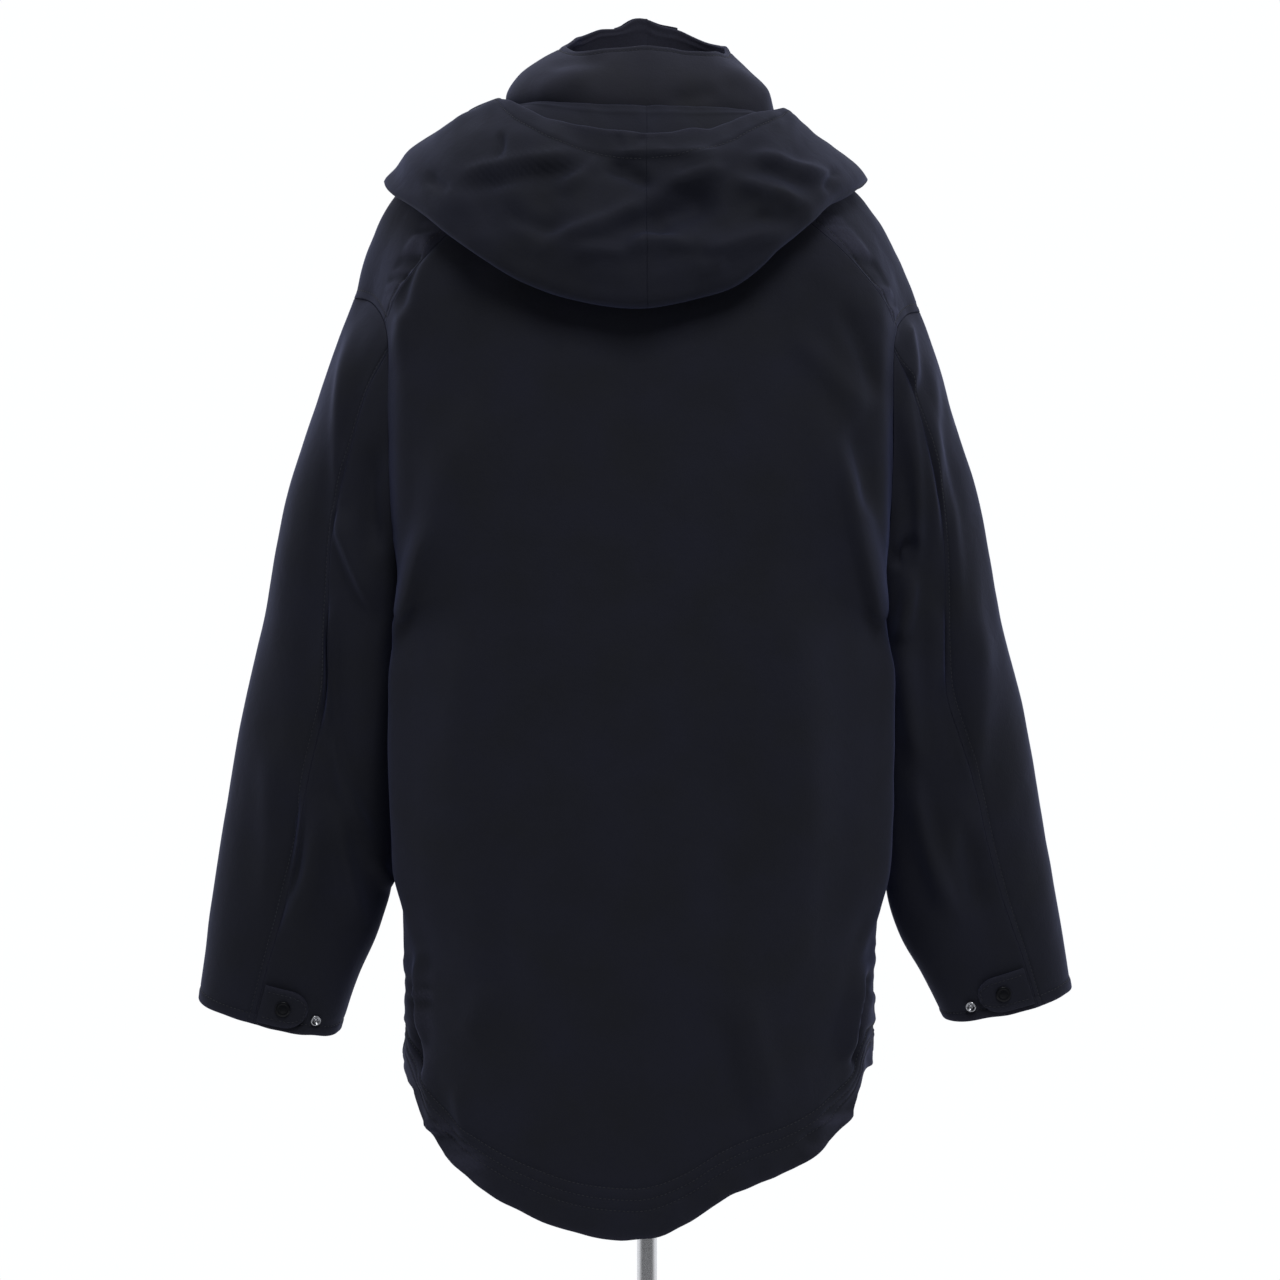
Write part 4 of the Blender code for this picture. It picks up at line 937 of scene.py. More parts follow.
@dataclass
class Panel:
    """One cut piece of cloth: a fine grid over its solid's surface, with a wall behind it.

    The outer face is the control surface read at fine stations and lifted along its normals by the
    sum of padding, folds, puckers and stitch grooves. Near an edge both faces round to the middle
    of the wall, by one minus the root of one minus the squared nearness.
    """

    node: str
    control: Array
    facing: tuple[float, float, float]
    rows: tuple[float, float]
    cols: tuple[float, float]
    edges: tuple[Sewn, Sewn, Sewn, Sewn]  # first row, last row, first column, last column
    cut: tuple[float, float]  # flat width and length
    cut_area: float
    worn: Sequence[Worn] = ()
    fold_gain: float = 1.5  # the worn creases stand this much higher than in the table
    held: Held = Held.HUNG
    rests_on: tuple[str, ...] = ("form_torso",)
    wall: float = CLOTH
    padding: float = 0.0009
    step: float = 0.0036
    pieces: tuple[bpy.types.Object, ...] = ()  # what is sewn to it
    rows_shared: bool = False  # its rows go on in the panel beside it

    @property
    def stem(self) -> str:
        """What its pieces' names begin with."""
        return self.node.replace("_panel", "")

    def stations(self, axis: int) -> tuple[Array, Array]:
        """Fine places along one axis.

        Args:
            axis: 0 down the rows, 1 across the columns.

        Returns:
            Their distances from the first edge, and their fractional places in the control grid.
        """
        span, other = (self.cols, self.rows) if axis else (self.rows, self.cols)
        used = self.control
        if axis or not self.rows_shared:
            used = used.take(range(math.floor(other[0]), math.ceil(other[1]) + 1), axis=1 - axis)
        steps = np.linalg.norm(np.diff(used, axis=axis), axis=2).mean(axis=1 - axis)
        run = np.concatenate([[0.0], np.cumsum(steps)])
        marks = np.arange(len(run))
        start, end = np.interp(span, marks, run)
        length = end - start
        first, last = (sewn.value for sewn in self.edges[2 * axis:2 * axis + 2])
        near = np.array(EDGE_STATIONS)
        groove = np.array(GROOVE_STATIONS)
        places = [np.linspace(0, length, round(length / self.step) + 1), near, length - near]
        places += [row + groove for row in first.rows] + [length - row + groove for row in last.rows]
        away = np.unique(np.round(np.concatenate(places) / STATION_GRAIN)) * STATION_GRAIN
        away = np.unique(np.clip(away, first.gap, length - last.gap))
        return away, np.interp(start + away, run, marks)

    def shape(self) -> tuple[Array, Array, Array, Array]:
        """The smooth surface before its folds.

        Returns:
            Points and normals on the grid, and the distances down and across.
        """
        down, rows = self.stations(0)
        across, cols = self.stations(1)
        points = refine(self.control, rows, cols)
        return points, normals_of(points, self.facing), down, across

    def folds(self, points: Array, out: Array, away: Arrays) -> Array:
        """Lift of the panel's own folds.

        Args:
            points: The grid's points.
            out: Their normals.
            away: Their distances to the four edges; not used.

        Returns:
            The lift at each point.
        """
        x, _, z = np.moveaxis(points, -1, 0)
        lift = np.zeros_like(x)
        for kind in self.worn:
            facing = ease(out[..., 1] * kind.toward / kind.slant + kind.early)
            lift += crease_lift(kind.creases, x, z) * facing
        return lift * self.fold_gain

    def painted_light_share(self, points: Array, away: Arrays) -> Array:
        """Painted light away from the cloth's edges, from its points and those distances."""
        return np.zeros(points.shape[:2])

    def build(self, finish: Material) -> list[tuple[Array, Array]]:
        """Args:
            finish: The cloth's material.

        Returns:
            Points and normals along each of its stitch rows.
        """
        points, out, down, across = self.shape()
        u, v = np.meshgrid(across, down)
        away = (v, down[-1] + down[0] - v, u, across[-1] + across[0] - u)
        x, y, z = np.moveaxis(points, -1, 0)
        east = x + 0.6 * y
        up = z + 0.5 * y
        lift = self.padding * ripple(PADDING, east, up)
        folds = self.folds(points, out, away)
        # Painted light from the panel: a painted highlight on the gathers and painted light on the collar's
        # top.
        wear_and_painted_light = self.painted_light_share(points, away)
        rounding = np.zeros_like(u)
        for number, (sewn, distance) in enumerate(zip(self.edges, away)):
            edge = sewn.value
            if edge.wander:
                way = unit(np.gradient(points, axis=number // 2)) * (1 if number % 2 else -1)
                sway = ripple(WANDER, east, up) * edge.wander * bell(distance / WANDER_REACH)
                points = points + way * sway[..., None]
            if edge.hold:
                folds = folds * ease(distance / edge.hold)
            waves = noise(east / edge.wave, up / edge.wave, PUCKER_SEED)
            lift += edge.pucker * waves * bell(distance / edge.reach)
            for row in edge.rows:
                lift -= edge.groove * bell((distance - row) / GROOVE_WIDTH)
            if edge.rows:
                lift += edge.turned * ease((edge.rows[-1] - distance) / 0.002 + 0.5)
            # Edges turn paler: worn, and a painted highlight on their rolled edges.
            wear_and_painted_light = np.maximum(wear_and_painted_light, edge.wear_and_painted_light * bell(distance / PALE_EDGE_REACH))
            near = np.clip(1 - distance / edge.roll, 0, 0.98)
            rounding = np.maximum(rounding, edge.sink * self.wall / 2 * (1 - np.sqrt(1 - near ** 2)))
        lift = (lift + folds)[..., None]
        outer = points + out * (lift - rounding[..., None])
        inner = points + out * (lift - self.wall + rounding[..., None])
        self._make(outer, inner, out, np.stack([u, v], axis=-1), wear_and_painted_light, finish)
        return self._stitch_rows(outer, out, down, across)

    def _make(self, outer: Array, inner: Array, out: Array, places: Array, wear_and_painted_light: Array,
              finish: Material) -> None:
        """Args:
            outer: Points of the outer face.
            inner: Points of the inner face.
            out: Outward normals.
            places: Places on the flat cloth.
            wear_and_painted_light: Paler shares: worn edges, with painted highlight and painted light.
            finish: The cloth's material.
        """
        rows, cols = wear_and_painted_light.shape
        count = rows * cols
        number = np.arange(count).reshape(rows, cols)
        face = np.stack([number[:-1, :-1], number[1:, :-1], number[1:, 1:], number[:-1, 1:]], axis=-1)
        face = face.reshape(-1, 4)
        rim = np.concatenate([number[0], number[1:, -1], number[-1, -2::-1], number[-2:0:-1, 0]])
        after = np.roll(rim, -1)
        wall = np.stack([rim, after, count + after, count + rim], axis=1)
        faces = np.concatenate([face, face[:, ::-1] + count, wall])
        r, c = rows // 2, cols // 2
        turn = np.cross(outer[r + 1, c] - outer[r, c], outer[r, c + 1] - outer[r, c])
        if np.dot(turn, out[r, c]) < 0:
            faces = faces[:, ::-1]
        made = make_object(
            f"{self.stem}_cloth", np.concatenate([outer.reshape(-1, 3), inner.reshape(-1, 3)]),
            faces.tolist(), finish, np.tile(places.reshape(-1, 2), (2, 1)), np.tile(wear_and_painted_light.ravel(), 2))
        ride_root(made, self.node, self.node)

    def _stitch_rows(self, outer: Array, out: Array, down: Array,
                     across: Array) -> list[tuple[Array, Array]]:
        """The grid lines that carry stitches.

        Args:
            outer: Points of the outer face.
            out: Outward normals.
            down: Distances of the grid's rows.
            across: Distances of its columns.

        Returns:
            Points and normals along each line, short of its ends.
        """
        rows = []
        for number, sewn in enumerate(self.edges):
            line = down if number < 2 else across
            for distance in sewn.value.rows:
                place = distance if number % 2 == 0 else line[-1] - distance
                index = int(np.abs(line - place).argmin())
                pick = (index, slice(3, -3)) if number < 2 else (slice(3, -3), index)
                rows.append((outer[pick], out[pick]))
        return rows


@dataclass
class Stitching:
    """Lockstitch thread: each stitch is a thin bead whose two ends dip into the cloth."""

    pitch: float = 0.0036
    length: float = 0.0027
    radius: float = 0.00032
    sides: int = 5
    shares: tuple[float, ...] = (-0.5, -0.28, 0.28, 0.5)  # its four rings along its length,
    thick: tuple[float, ...] = (0.45, 1.0, 1.0, 0.45)  # their radii and
    rise: tuple[float, ...] = (-1.1, 0.35, 0.35, -1.1)  # heights, in radii

    def build(self, name: str, slot: str, rows: Sequence[tuple[Array, Array]], finish: Material) -> None:
        """Makes all stitches along some rows as one object.

        Args:
            name: The object's name.
            slot: The record's slot of the cloth that it is sewn through.
            rows: Points and normals along each row.
            finish: The thread's material.
        """
        shares, thick, rise = (np.array(row) for row in (self.shares, self.thick, self.rise))
        count = len(shares)
        turn = np.arange(self.sides) * 2 * math.pi / self.sides
        rings = []
        for points, normals in rows:
            run = lengths(points)
            middle = np.arange(self.pitch, run[-1] - self.pitch, self.pitch)
            at = (middle[:, None] + shares * self.length).ravel()
            centre = sample(at, run, points).reshape(-1, count, 3)
            up = unit(sample(at, run, normals)).reshape(-1, count, 3)
            way = unit(centre[:, -1] - centre[:, 0])[:, None, :]
            beside = unit(np.cross(way, up))
            centre = centre + up * (rise * self.radius)[:, None]
            spread = beside[:, :, None] * np.cos(turn)[:, None] + up[:, :, None] * np.sin(turn)[:, None]
            rings.append(centre[:, :, None] + spread * (thick * self.radius)[:, None, None])
        points = np.concatenate(rings)
        ring = np.arange(count * self.sides).reshape(count, self.sides)
        here = ring[:-1]
        beside = np.roll(here, -1, axis=1)
        quads = np.stack([here, here + self.sides, beside + self.sides, beside], axis=-1).reshape(-1, 4)
        caps = np.stack([ring[0], ring[-1, ::-1]])
        start = np.arange(len(points))[:, None, None] * ring.size
        faces = (quads + start).reshape(-1, 4).tolist() + (caps + start).reshape(-1, self.sides).tolist()
        ride_root(make_object(name, points.reshape(-1, 3), faces, finish), slot)


# ---- The body ----
@dataclass
class BodyPanel(Panel):
    """A panel of the body, with the creases of one face and the gathers at the hem's sides."""

    face: Facing = Facing.BACK
    gather_out: float = 0.120  # where the gathered hem begins
    gather_band: float = 0.034  # height of its band over the edge
    side_out: float = 0.172  # where the gathered side strips begin
    side_top: float = 0.790
    gather_rise: float = 0.0019
    seam_round: float = 0.045  # how far from the shoulder seam the cloth rounds off
    bare_left: float = 0.198  # where the shoulder seam comes out from under the hood
    bare_right: float = 0.165

    def shape(self) -> tuple[Array, Array, Array, Array]:
        """The smooth surface. Beside the bare shoulder seam it rises by d tan(a) (1 - d/D)^2 at the
        distance d, so that both faces, which tilt by the angle a, meet level there."""
        points, out, down, across = super().shape()
        x, y, _ = points[0].T
        bare = np.where(x > 0, x - self.bare_left, -x - self.bare_right)
        tilt = out[0, :, 1] * self.face.value * (self.rows[0] == 0) * (np.abs(y) < 0.001)
        steep = tilt / np.sqrt(1 - tilt ** 2) * ease(bare / 0.015)
        away = down[:, None] / self.seam_round
        rise = self.seam_round * steep * away * np.clip(1 - away, 0, 1) ** 2
        points = points + out * rise[..., None]
        return points, normals_of(points, self.facing), down, across

    def gathers(self, points: Array, away: Arrays) -> tuple[Array, Array]:
        """The gathers at the hem's sides and on the strips above, one small wave under another.

        Args:
            points: The grid's points.
            away: Distances to the four edges.

        Returns:
            Their share at each point, and their waves.
        """
        x, y, z = np.moveaxis(points, -1, 0)
        out = np.abs(x)
        band = ease((out - self.gather_out) / 0.030) * ease((self.gather_band - away[1]) / 0.010)
        side = 0.7 * ease((out - self.side_out) / 0.010) * ease((self.side_top - z) / 0.060)
        return np.maximum(band, side), ripple(GATHERS, z, out + 0.7 * y)

    def folds(self, points: Array, out: Array, away: Arrays) -> Array:
        """The worn creases and the gathers."""
        share, waves = self.gathers(points, away)
        return super().folds(points, out, away) + self.gather_rise * share * waves

    def painted_light_share(self, points: Array, away: Arrays) -> Array:
        """Painted highlight on the gathers: paler, most of all on their crests."""
        share, waves = self.gathers(points, away)
        return np.clip(share * (0.9 + 1.5 * waves), 0, 1.8)


@dataclass
class Body:
    """The jacket's body: back yoke, back with its fishtail hem, and two fronts closed at X = 0.

    Rows run from the neck and shoulders over a quarter-round roof, down the armholes and on to the
    hem. Columns run from the wearer's left armhole or side to the right.
    """

    neck_back: float = 0.0800
    neck_front: float = -0.0980
    neck_back_height: float = 1.4520
    neck_front_height: float = 1.4260
    underarm_height: float = 1.0300
    armhole_depth: float = 0.0740
    roof_edge_height: float = 1.2600
    roof_back_height: float = 1.3300
    roof_front_height: float = 1.3000
    side_seam: float = 0.190
    shoulder_columns: int = 5
    neck_columns: int = 5
    roof_rows: tuple[float, ...] = (0.0, 0.25, 0.48, 0.70, 0.86, 1.0)
    yoke_row: int = 3
    armhole_rows: int = 5
    skirt_rows: int = 11

    def __post_init__(self) -> None:
        """Works out both faces."""
        self.back = self.grid(Facing.BACK, BACK_FOLDS)
        self.front = self.grid(Facing.FRONT, FRONT_FOLDS)

    def top_line(self, side: Side, facing: Facing) -> Array:
        """Half of the top edge, from the middle of the neck to the armhole.

        Args:
            side: The wearer's side.
            facing: Back or front.

        Returns:
            Its points: a quarter of an oval neckline, then the shoulder seam.
        """
        angle = np.linspace(0, math.pi / 2, self.neck_columns * 8 + 1)
        behind = facing is Facing.BACK
        deep = self.neck_back if behind else self.neck_front
        rows = LEFT_SHOULDER if side is Side.LEFT else RIGHT_SHOULDER
        drop = rows[0].height - (self.neck_back_height if behind else self.neck_front_height)
        neck = points_of(side.value * rows[0].out * np.sin(angle), deep * np.cos(angle),
                         rows[0].height - drop * np.cos(angle) ** 2)
        neck[-1, 1] = 0.0
        share = np.linspace(0, 1, self.shoulder_columns * 8 + 1)
        shoulder = points_of(side.value * read(rows, "out", share), 0.0, read(rows, "height", share))
        neck_row = along(neck, np.linspace(0, 1, self.neck_columns + 1))
        shoulder_row = along(shoulder, np.linspace(0, 1, self.shoulder_columns + 1))
        return np.concatenate([neck_row, shoulder_row[1:]])

    def level(self, side: Side, facing: Facing, edge_height: float, deep: float,
              middle_height: float) -> Array:
        """A rounded-square arc from a panel's middle to its edge, evenly spaced.

        Args:
            side: The wearer's side.
            facing: Back or front.
            edge_height: Height of the edge.
            deep: Y of the edge.
            middle_height: Height of the middle.

        Returns:
            Its points.
        """
        out = side.value * read(BODY_LEVELS, side.name.lower(), edge_height)
        middle = read(BODY_LEVELS, facing.name.lower(), middle_height)
        angle = np.linspace(0, math.pi / 2, 120)
        power = 2 / read(BODY_LEVELS, "square", middle_height)
        arc = points_of(out * np.sin(angle) ** power,
                        deep + (middle - deep) * np.clip(np.cos(angle), 0, 1) ** power,
                        middle_height + (edge_height - middle_height) * np.sin(angle) ** 2)
        return along(arc, np.linspace(0, 1, self.neck_columns + self.shoulder_columns + 1))

    def quarter(self, side: Side, facing: Facing) -> Array:
        """A quarter of the body.

        Args:
            side: The wearer's side.
            facing: Back or front.

        Returns:
            Its points: rows from the top edge to the hem, columns from the middle out.
        """
        behind = facing is Facing.BACK
        roof_middle = self.roof_back_height if behind else self.roof_front_height
        hem = BACK_HEM if behind else FRONT_HEM
        deep = facing.value * self.armhole_depth
        top = self.top_line(side, facing)
        base = self.level(side, facing, self.roof_edge_height, deep, roof_middle)
        rows = []
        for turn in np.array(self.roof_rows) * math.pi / 2:
            rows.append(top + (base - top) * np.array([math.sin(turn), math.sin(turn), 1 - math.cos(turn)]))
        for k in range(1, self.armhole_rows + 1):
            share = k / self.armhole_rows
            turn = share * math.pi / 2
            drop = (self.underarm_height - self.roof_edge_height) * math.sin(turn) ** 0.8
            narrow = math.cos(turn) ** 0.8 if share < 1 else 0.0
            middle_height = roof_middle + (self.underarm_height - roof_middle) * k / self.armhole_rows
            rows.append(self.level(side, facing, self.roof_edge_height + drop, deep * narrow, middle_height))
        waist = rows[-1]
        hem_side = read(FRONT_HEM, "height", side.value * self.side_seam)
        hem_middle = read(hem, "height", 0.0)
        for k in range(1, self.skirt_rows + 1):
            drop = k / self.skirt_rows
            edge_height = self.underarm_height + (hem_side - self.underarm_height) * drop
            middle_height = self.underarm_height + (hem_middle - self.underarm_height) * drop
            row = self.level(side, facing, edge_height, 0.0, middle_height)
            hem_height = read(hem, "height", row[:, 0])
            hem_height[-1] = hem_side
            row[:, 2] = waist[:, 2] + (hem_height - waist[:, 2]) * drop
            rows.append(row)
        return np.array(rows)

    def grid(self, facing: Facing, folds: Sequence[Fold]) -> Array:
        """One face of the body with its largest folds.

        Args:
            facing: Back or front.
            folds: Its folds.

        Returns:
            Its points, from the wearer's left to the right.
        """
        left = self.quarter(Side.LEFT, facing)
        right = self.quarter(Side.RIGHT, facing)
        grid = np.concatenate([left[:, ::-1], right[:, 1:]], axis=1)
        out = soften(normals_of(grid, (0, facing.value, 0)), 4)
        middle = grid.shape[1] // 2
        across = np.zeros(grid.shape[:2])
        across[:, 1:] = np.cumsum(np.linalg.norm(np.diff(grid, axis=1), axis=2), axis=1)
        across = across[:, middle:middle + 1] - across
        row = np.arange(grid.shape[0])[:, None] / (len(self.roof_rows) - 1)
        col = np.abs(np.linspace(-1, 1, grid.shape[1]))[None, :]
        free = ease(row - 0.4) * ease((1 - col) / 0.22)
        if facing is Facing.FRONT:
            free = free * ease(col / 0.25 - 0.3)
        return grid + out * (fold_lift(folds, across, grid[:, :, 2]) * free)[:, :, None]

    def armhole(self, side: Side) -> Array:
        """The armhole from the shoulder down the back edge to the underarm and up the front edge."""
        last = len(self.roof_rows) - 1 + self.armhole_rows
        edge = 0 if side is Side.LEFT else -1
        return np.concatenate([self.back[:last + 1, edge], self.front[last - 1:0:-1, edge]])

    def panels(self) -> list[Panel]:
        """Yoke, back and the two fronts."""
        last_row = len(self.back) - 1
        last_col = self.back.shape[1] - 1
        middle = last_col // 2
        skirt = (Sewn.SEAM, Sewn.HEM, Sewn.SEAM, Sewn.SEAM)
        behind = dict(control=self.back, facing=(0, 1, 0), cols=(0, last_col), worn=BACK_WORN)
        before = dict(control=self.front, facing=(0, -1, 0), rows=(0, last_row), face=Facing.FRONT,
                      worn=FRONT_WORN, edges=skirt, cut=(0.34, 0.86), cut_area=0.214)
        return [
            BodyPanel("back_yoke", rows=(0, self.yoke_row), cut=(0.62, 0.16), cut_area=0.063,
                      edges=(Sewn.SEAM, Sewn.TOPSTITCHED, Sewn.ARMHOLE, Sewn.ARMHOLE), **behind),
            BodyPanel("back_panel", rows=(self.yoke_row, last_row), cut=(0.62, 0.86), cut_area=0.408,
                      edges=skirt, **behind),
            BodyPanel("front_left", cols=(0, middle), **before),
            BodyPanel("front_right", cols=(middle, last_col), **before),
        ]


# ---- Sleeves ----
@dataclass
class Sleeve:
    """A two-piece sleeve from the dropped armhole to the cuff, with its tab, snap and socket."""

    side: Side
    rows: Sequence[Ring]
    seams: Sequence[Seams]
    large_folds: Sequence[SleeveFold]
    cuff: Cuff
    armhole: Array
    rings: int = 13
    back_seam: int = 5  # ring columns that carry the two seams
    front_seam: int = 16
    roundness: float = 2.3  # 2 is an oval, more is squarer
    tab_half_width: float = 0.0165
    tab_rise: float = 0.0205  # from the cuff's edge to the middle of the tab
    socket_rise: float = 0.0150

    def __post_init__(self) -> None:
        """Works out the rings, the same three times round, and a step along the cuff's last stretch."""
        self.name = self.side.name.lower()
        self.count = len(self.armhole)
        self.surface, self.turns = self._rings()
        self.wrapped = np.concatenate([self.surface] * 3, axis=1)
        self.cuff_step = np.linalg.norm(np.subtract(*self.surface[-2:, self.back_seam]))

    def ring(self, share: float, turns: Array) -> Array:
        """One tilted ring, a rounded oval from its outer point over its back.

        Args:
            share: Its share of the sleeve's length.
            turns: Where its points lie, in turns.

        Returns:
            Its points.
        """
        row = Ring(share, *(float(read(self.rows, name, share)) for name in Ring._fields[1:]))
        outer = np.array([self.side.value * row.out, row.middle, row.out_height])
        inner = np.array([self.side.value * row.inner, row.middle, row.inner_height])
        angle = np.linspace(0, 2 * math.pi, 241)
        wide, deep = (np.sign(wave) * np.abs(wave) ** (2 / self.roundness)
                      for wave in (np.cos(angle), np.sin(angle)))
        loop = (outer + inner) / 2 + (outer - inner) / 2 * wide[:, None]
        deep = deep * row.deep
        return along(loop + points_of(0.0, deep, -row.pitch * deep), turns)

    def _rings(self) -> tuple[Array, Array]:
        """Rings from the armhole to the cuff with the largest folds, and each point's turn."""
        closed = lengths(np.concatenate([self.armhole, self.armhole[:1]]))
        armhole_turns = closed[:-1] / closed[-1]
        rings = [self.armhole]
        turns = [armhole_turns]
        marks = [0, self.back_seam, self.front_seam, self.count]
        for k in range(1, self.rings + 1):
            share = k / self.rings
            seams = [0, read(self.seams, "back", share), read(self.seams, "front", share), 1]
            seam_turns = np.interp(np.arange(self.count), marks, seams)
            mixed = armhole_turns + (seam_turns - armhole_turns) * min(1.0, share * 2.2)
            settle = max(0.0, 1 - share * 5)
            rings.append(self.ring(share, mixed) * (1 - settle) + self.armhole * settle)
            turns.append(mixed)
        grid = np.array(rings)
        turns = np.array(turns)
        around = np.concatenate([grid[:, -1:], grid, grid[:, :1]], axis=1)
        out = grid_cross(around)[:, 1:-1]
        if np.sum(out * (grid - grid.mean(axis=1, keepdims=True))) < 0:
            out = -out
        girth = np.array([lengths(ring)[-1] for ring in around[:, 1:]])[:, None]
        share = np.arange(len(grid))[:, None] / self.rings
        lift = np.zeros_like(turns)
        for fold in self.large_folds:
            ahead = (share - fold.start) / (fold.end - fold.start)
            gap = (turns - fold.turn - (fold.reach - fold.turn) * ahead + 0.5) % 1.0 - 0.5
            fade = ease(np.minimum(ahead, 1 - ahead) / 0.3 + 0.3)
            lift += fold.rise * fade * bell(gap * girth / fold.width)
        lift = lift * ease(share / 0.10) * ease((1 - share) / 0.10)
        return grid + out * lift[:, :, None], turns

    def panels(self) -> list[Panel]:
        """Under sleeve and upper sleeve."""
        back_seam, front_seam = self.count + self.back_seam, self.count + self.front_seam
        shared = dict(control=self.wrapped, rows=(0, self.rings), worn=SLEEVE_WORN, rests_on=())
        ends = (Sewn.SLEEVE_HEAD, Sewn.CUFF)
        return [
            Panel(f"under_sleeve_{self.name}", facing=(-self.side.value, 0, 0),
                  cols=(back_seam, front_seam), edges=(*ends, Sewn.SEAM, Sewn.SEAM),
                  cut=(0.36, 0.58), cut_area=0.101, **shared),
            Panel(f"upper_sleeve_{self.name}", facing=(self.side.value, 0, 0.3),
                  cols=(front_seam, back_seam + self.count),
                  edges=(*ends, Sewn.TOPSTITCHED, Sewn.TOPSTITCHED),
                  cut=(0.24, 0.62), cut_area=0.111, **shared),
        ]

    def place(self, turn: float, rise: float) -> tuple[Array, Array]:
        """Where a fitting sits on the cuff.

        Args:
            turn: Turn round the cuff.
            rise: Height over the cuff's edge.

        Returns:
            The point on the cloth and its outward normal.
        """
        rows = self.rings - np.array([rise - 0.001, rise, rise + 0.001]) / self.cuff_step
        col = self.count + np.interp(turn, self.turns[-1], np.arange(self.count))
        patch = refine(self.wrapped, rows, np.array([col - 0.03, col, col + 0.03]))
        centre = patch[1, 1]
        return centre, normals_of(patch, centre - self.surface[-1].mean(axis=0))[1, 1]

    def tab(self) -> Panel:
        """The cuff tab: square where it comes out of the back seam, with one rounded end.

        Its columns crowd towards the round end, where its half width w falls to the root of
        w squared minus the squared distance past the end's centre.
        """
        columns = np.arange(self.count)
        first, last = np.interp([self.cuff.tab_start, self.cuff.tab_end], self.turns[-1], columns)
        ends = last - np.array([0.0, 0.03, 0.07, 0.13, 0.21, 0.32])
        col = np.unique(np.concatenate([np.linspace(first, last - 0.32, 8), ends]))
        girth = lengths(np.concatenate([self.surface[-1], self.surface[-1, :1]]))[-1]
        run = (np.interp(col, columns, self.turns[-1]) - self.cuff.tab_start) * girth
        closing = np.clip((run - (run[-1] - self.tab_half_width)) / self.tab_half_width, 0, 0.97)
        half = self.tab_half_width * np.sqrt(1 - closing ** 2)
        fine_rows = np.linspace(self.rings - 1.6, self.rings, 33)
        fine = refine(self.wrapped, fine_rows, self.count + col)
        out = normals_of(fine, fine[16, len(col) // 2] - self.surface[-1].mean(axis=0))
        row = self.rings - (self.tab_rise + np.linspace(1, -1, 9)[:, None] * half) / self.cuff_step
        index = (row - fine_rows[0]) / (fine_rows[1] - fine_rows[0])
        cols = np.arange(len(col)) + 0 * index
        normal = unit(grid_at(out, index, cols))
        return Panel(f"cuff_tab_{self.name}", grid_at(fine, index, cols) + normal * TAB_LIFT,
                     tuple(normal[4, len(col) // 2]), rows=(0, 8), cols=(0, len(col) - 1),
                     edges=(Sewn.TAB, Sewn.TAB, Sewn.SEAM, Sewn.TAB), cut=(0.049, 0.033),
                     cut_area=0.0014, rests_on=(f"under_sleeve_{self.name}_cloth",), wall=TAB_CLOTH,
                     padding=0.0, step=0.0016)


# ---- Collar and hood ----
@dataclass
class CollarPanel(Panel):
    """The stand collar."""

    def painted_light_share(self, points: Array, away: Arrays) -> Array:
        """Painted light: paler towards its top, most of all in front, where its inside lies in shade."""
        return bell(away[0] / 0.035) * (0.6 + ease(-points[..., 1] / 0.05))


@dataclass
class StandCollar:
    """A tall stand collar from its front middle round the wearer's left, the back and the right."""

    body: Body
    row_count: int = 4
    lean: float = 0.25  # upward share of the way in which the cloth swells

    def __post_init__(self) -> None:
        """Works out the collar: straight from seam to top, swelled by a skewed half sine."""
        count = self.body.neck_columns
        middle = self.body.back.shape[1] // 2
        left, right = slice(middle - count, middle + 1), slice(middle, middle + count + 1)
        back, front = self.body.back[0], self.body.front[0]
        seam = np.concatenate([front[left][::-1], back[left][1:], back[right][1:], front[right][-2::-1]])
        turn = np.linspace(0, 1, 2 * count + 1)
        left_top, right_top = (
            np.stack([read(rows, name, turn) for name in Collar._fields[1:]], axis=1)
            for rows in (LEFT_COLLAR, RIGHT_COLLAR))
        right_top[:, 0] *= -1
        top = np.concatenate([left_top, right_top[-2::-1]])
        top, swell = top[:, :3], top[:, 3:]
        rise = np.linspace(0, 1, self.row_count + 1)[:, None, None]
        outwards = unit((seam + top) * (EAST + NORTH)) + UP * self.lean
        grid = seam + (top - seam) * rise + unit(outwards) * np.sin(np.pi * rise ** 0.8) * swell
        grid[0] = seam
        self.surface = grid[::-1]

    def panel(self) -> Panel:
        """The collar as one panel."""
        rows, cols = self.surface.shape[:2]
        return CollarPanel("collar", self.surface, (0, 1, 0), (0, rows - 1), (0, cols - 1),
                           (Sewn.COLLAR_TOP, Sewn.SEAM, Sewn.SEAM, Sewn.SEAM), cut=(0.65, 0.14),
                           cut_area=0.054, worn=COLLAR_WORN, fold_gain=1.4,
                           rests_on=("back_yoke_cloth",), step=0.0030)


@dataclass
class HoodPanel(Panel):
    """Half of the hood, with the crumples of its upper layer."""

    fold_gain: float = 1.7

    def folds(self, points: Array, out: Array, away: Arrays) -> Array:
        """Creases on the upper layer behind, and small uneven waves all over it."""
        x, y, z = np.moveaxis(points, -1, 0)
        share = np.linspace(0, 1, len(points))[:, None]
        upper = ease((share - 0.50) / 0.08) * ease((y + 0.02) / 0.05)
        crumple = ripple(HOOD_CRUMPLE, x, z + 0.4 * y)
        return (crease_lift(HOOD_CREASES, x, z) * self.fold_gain + crumple) * upper


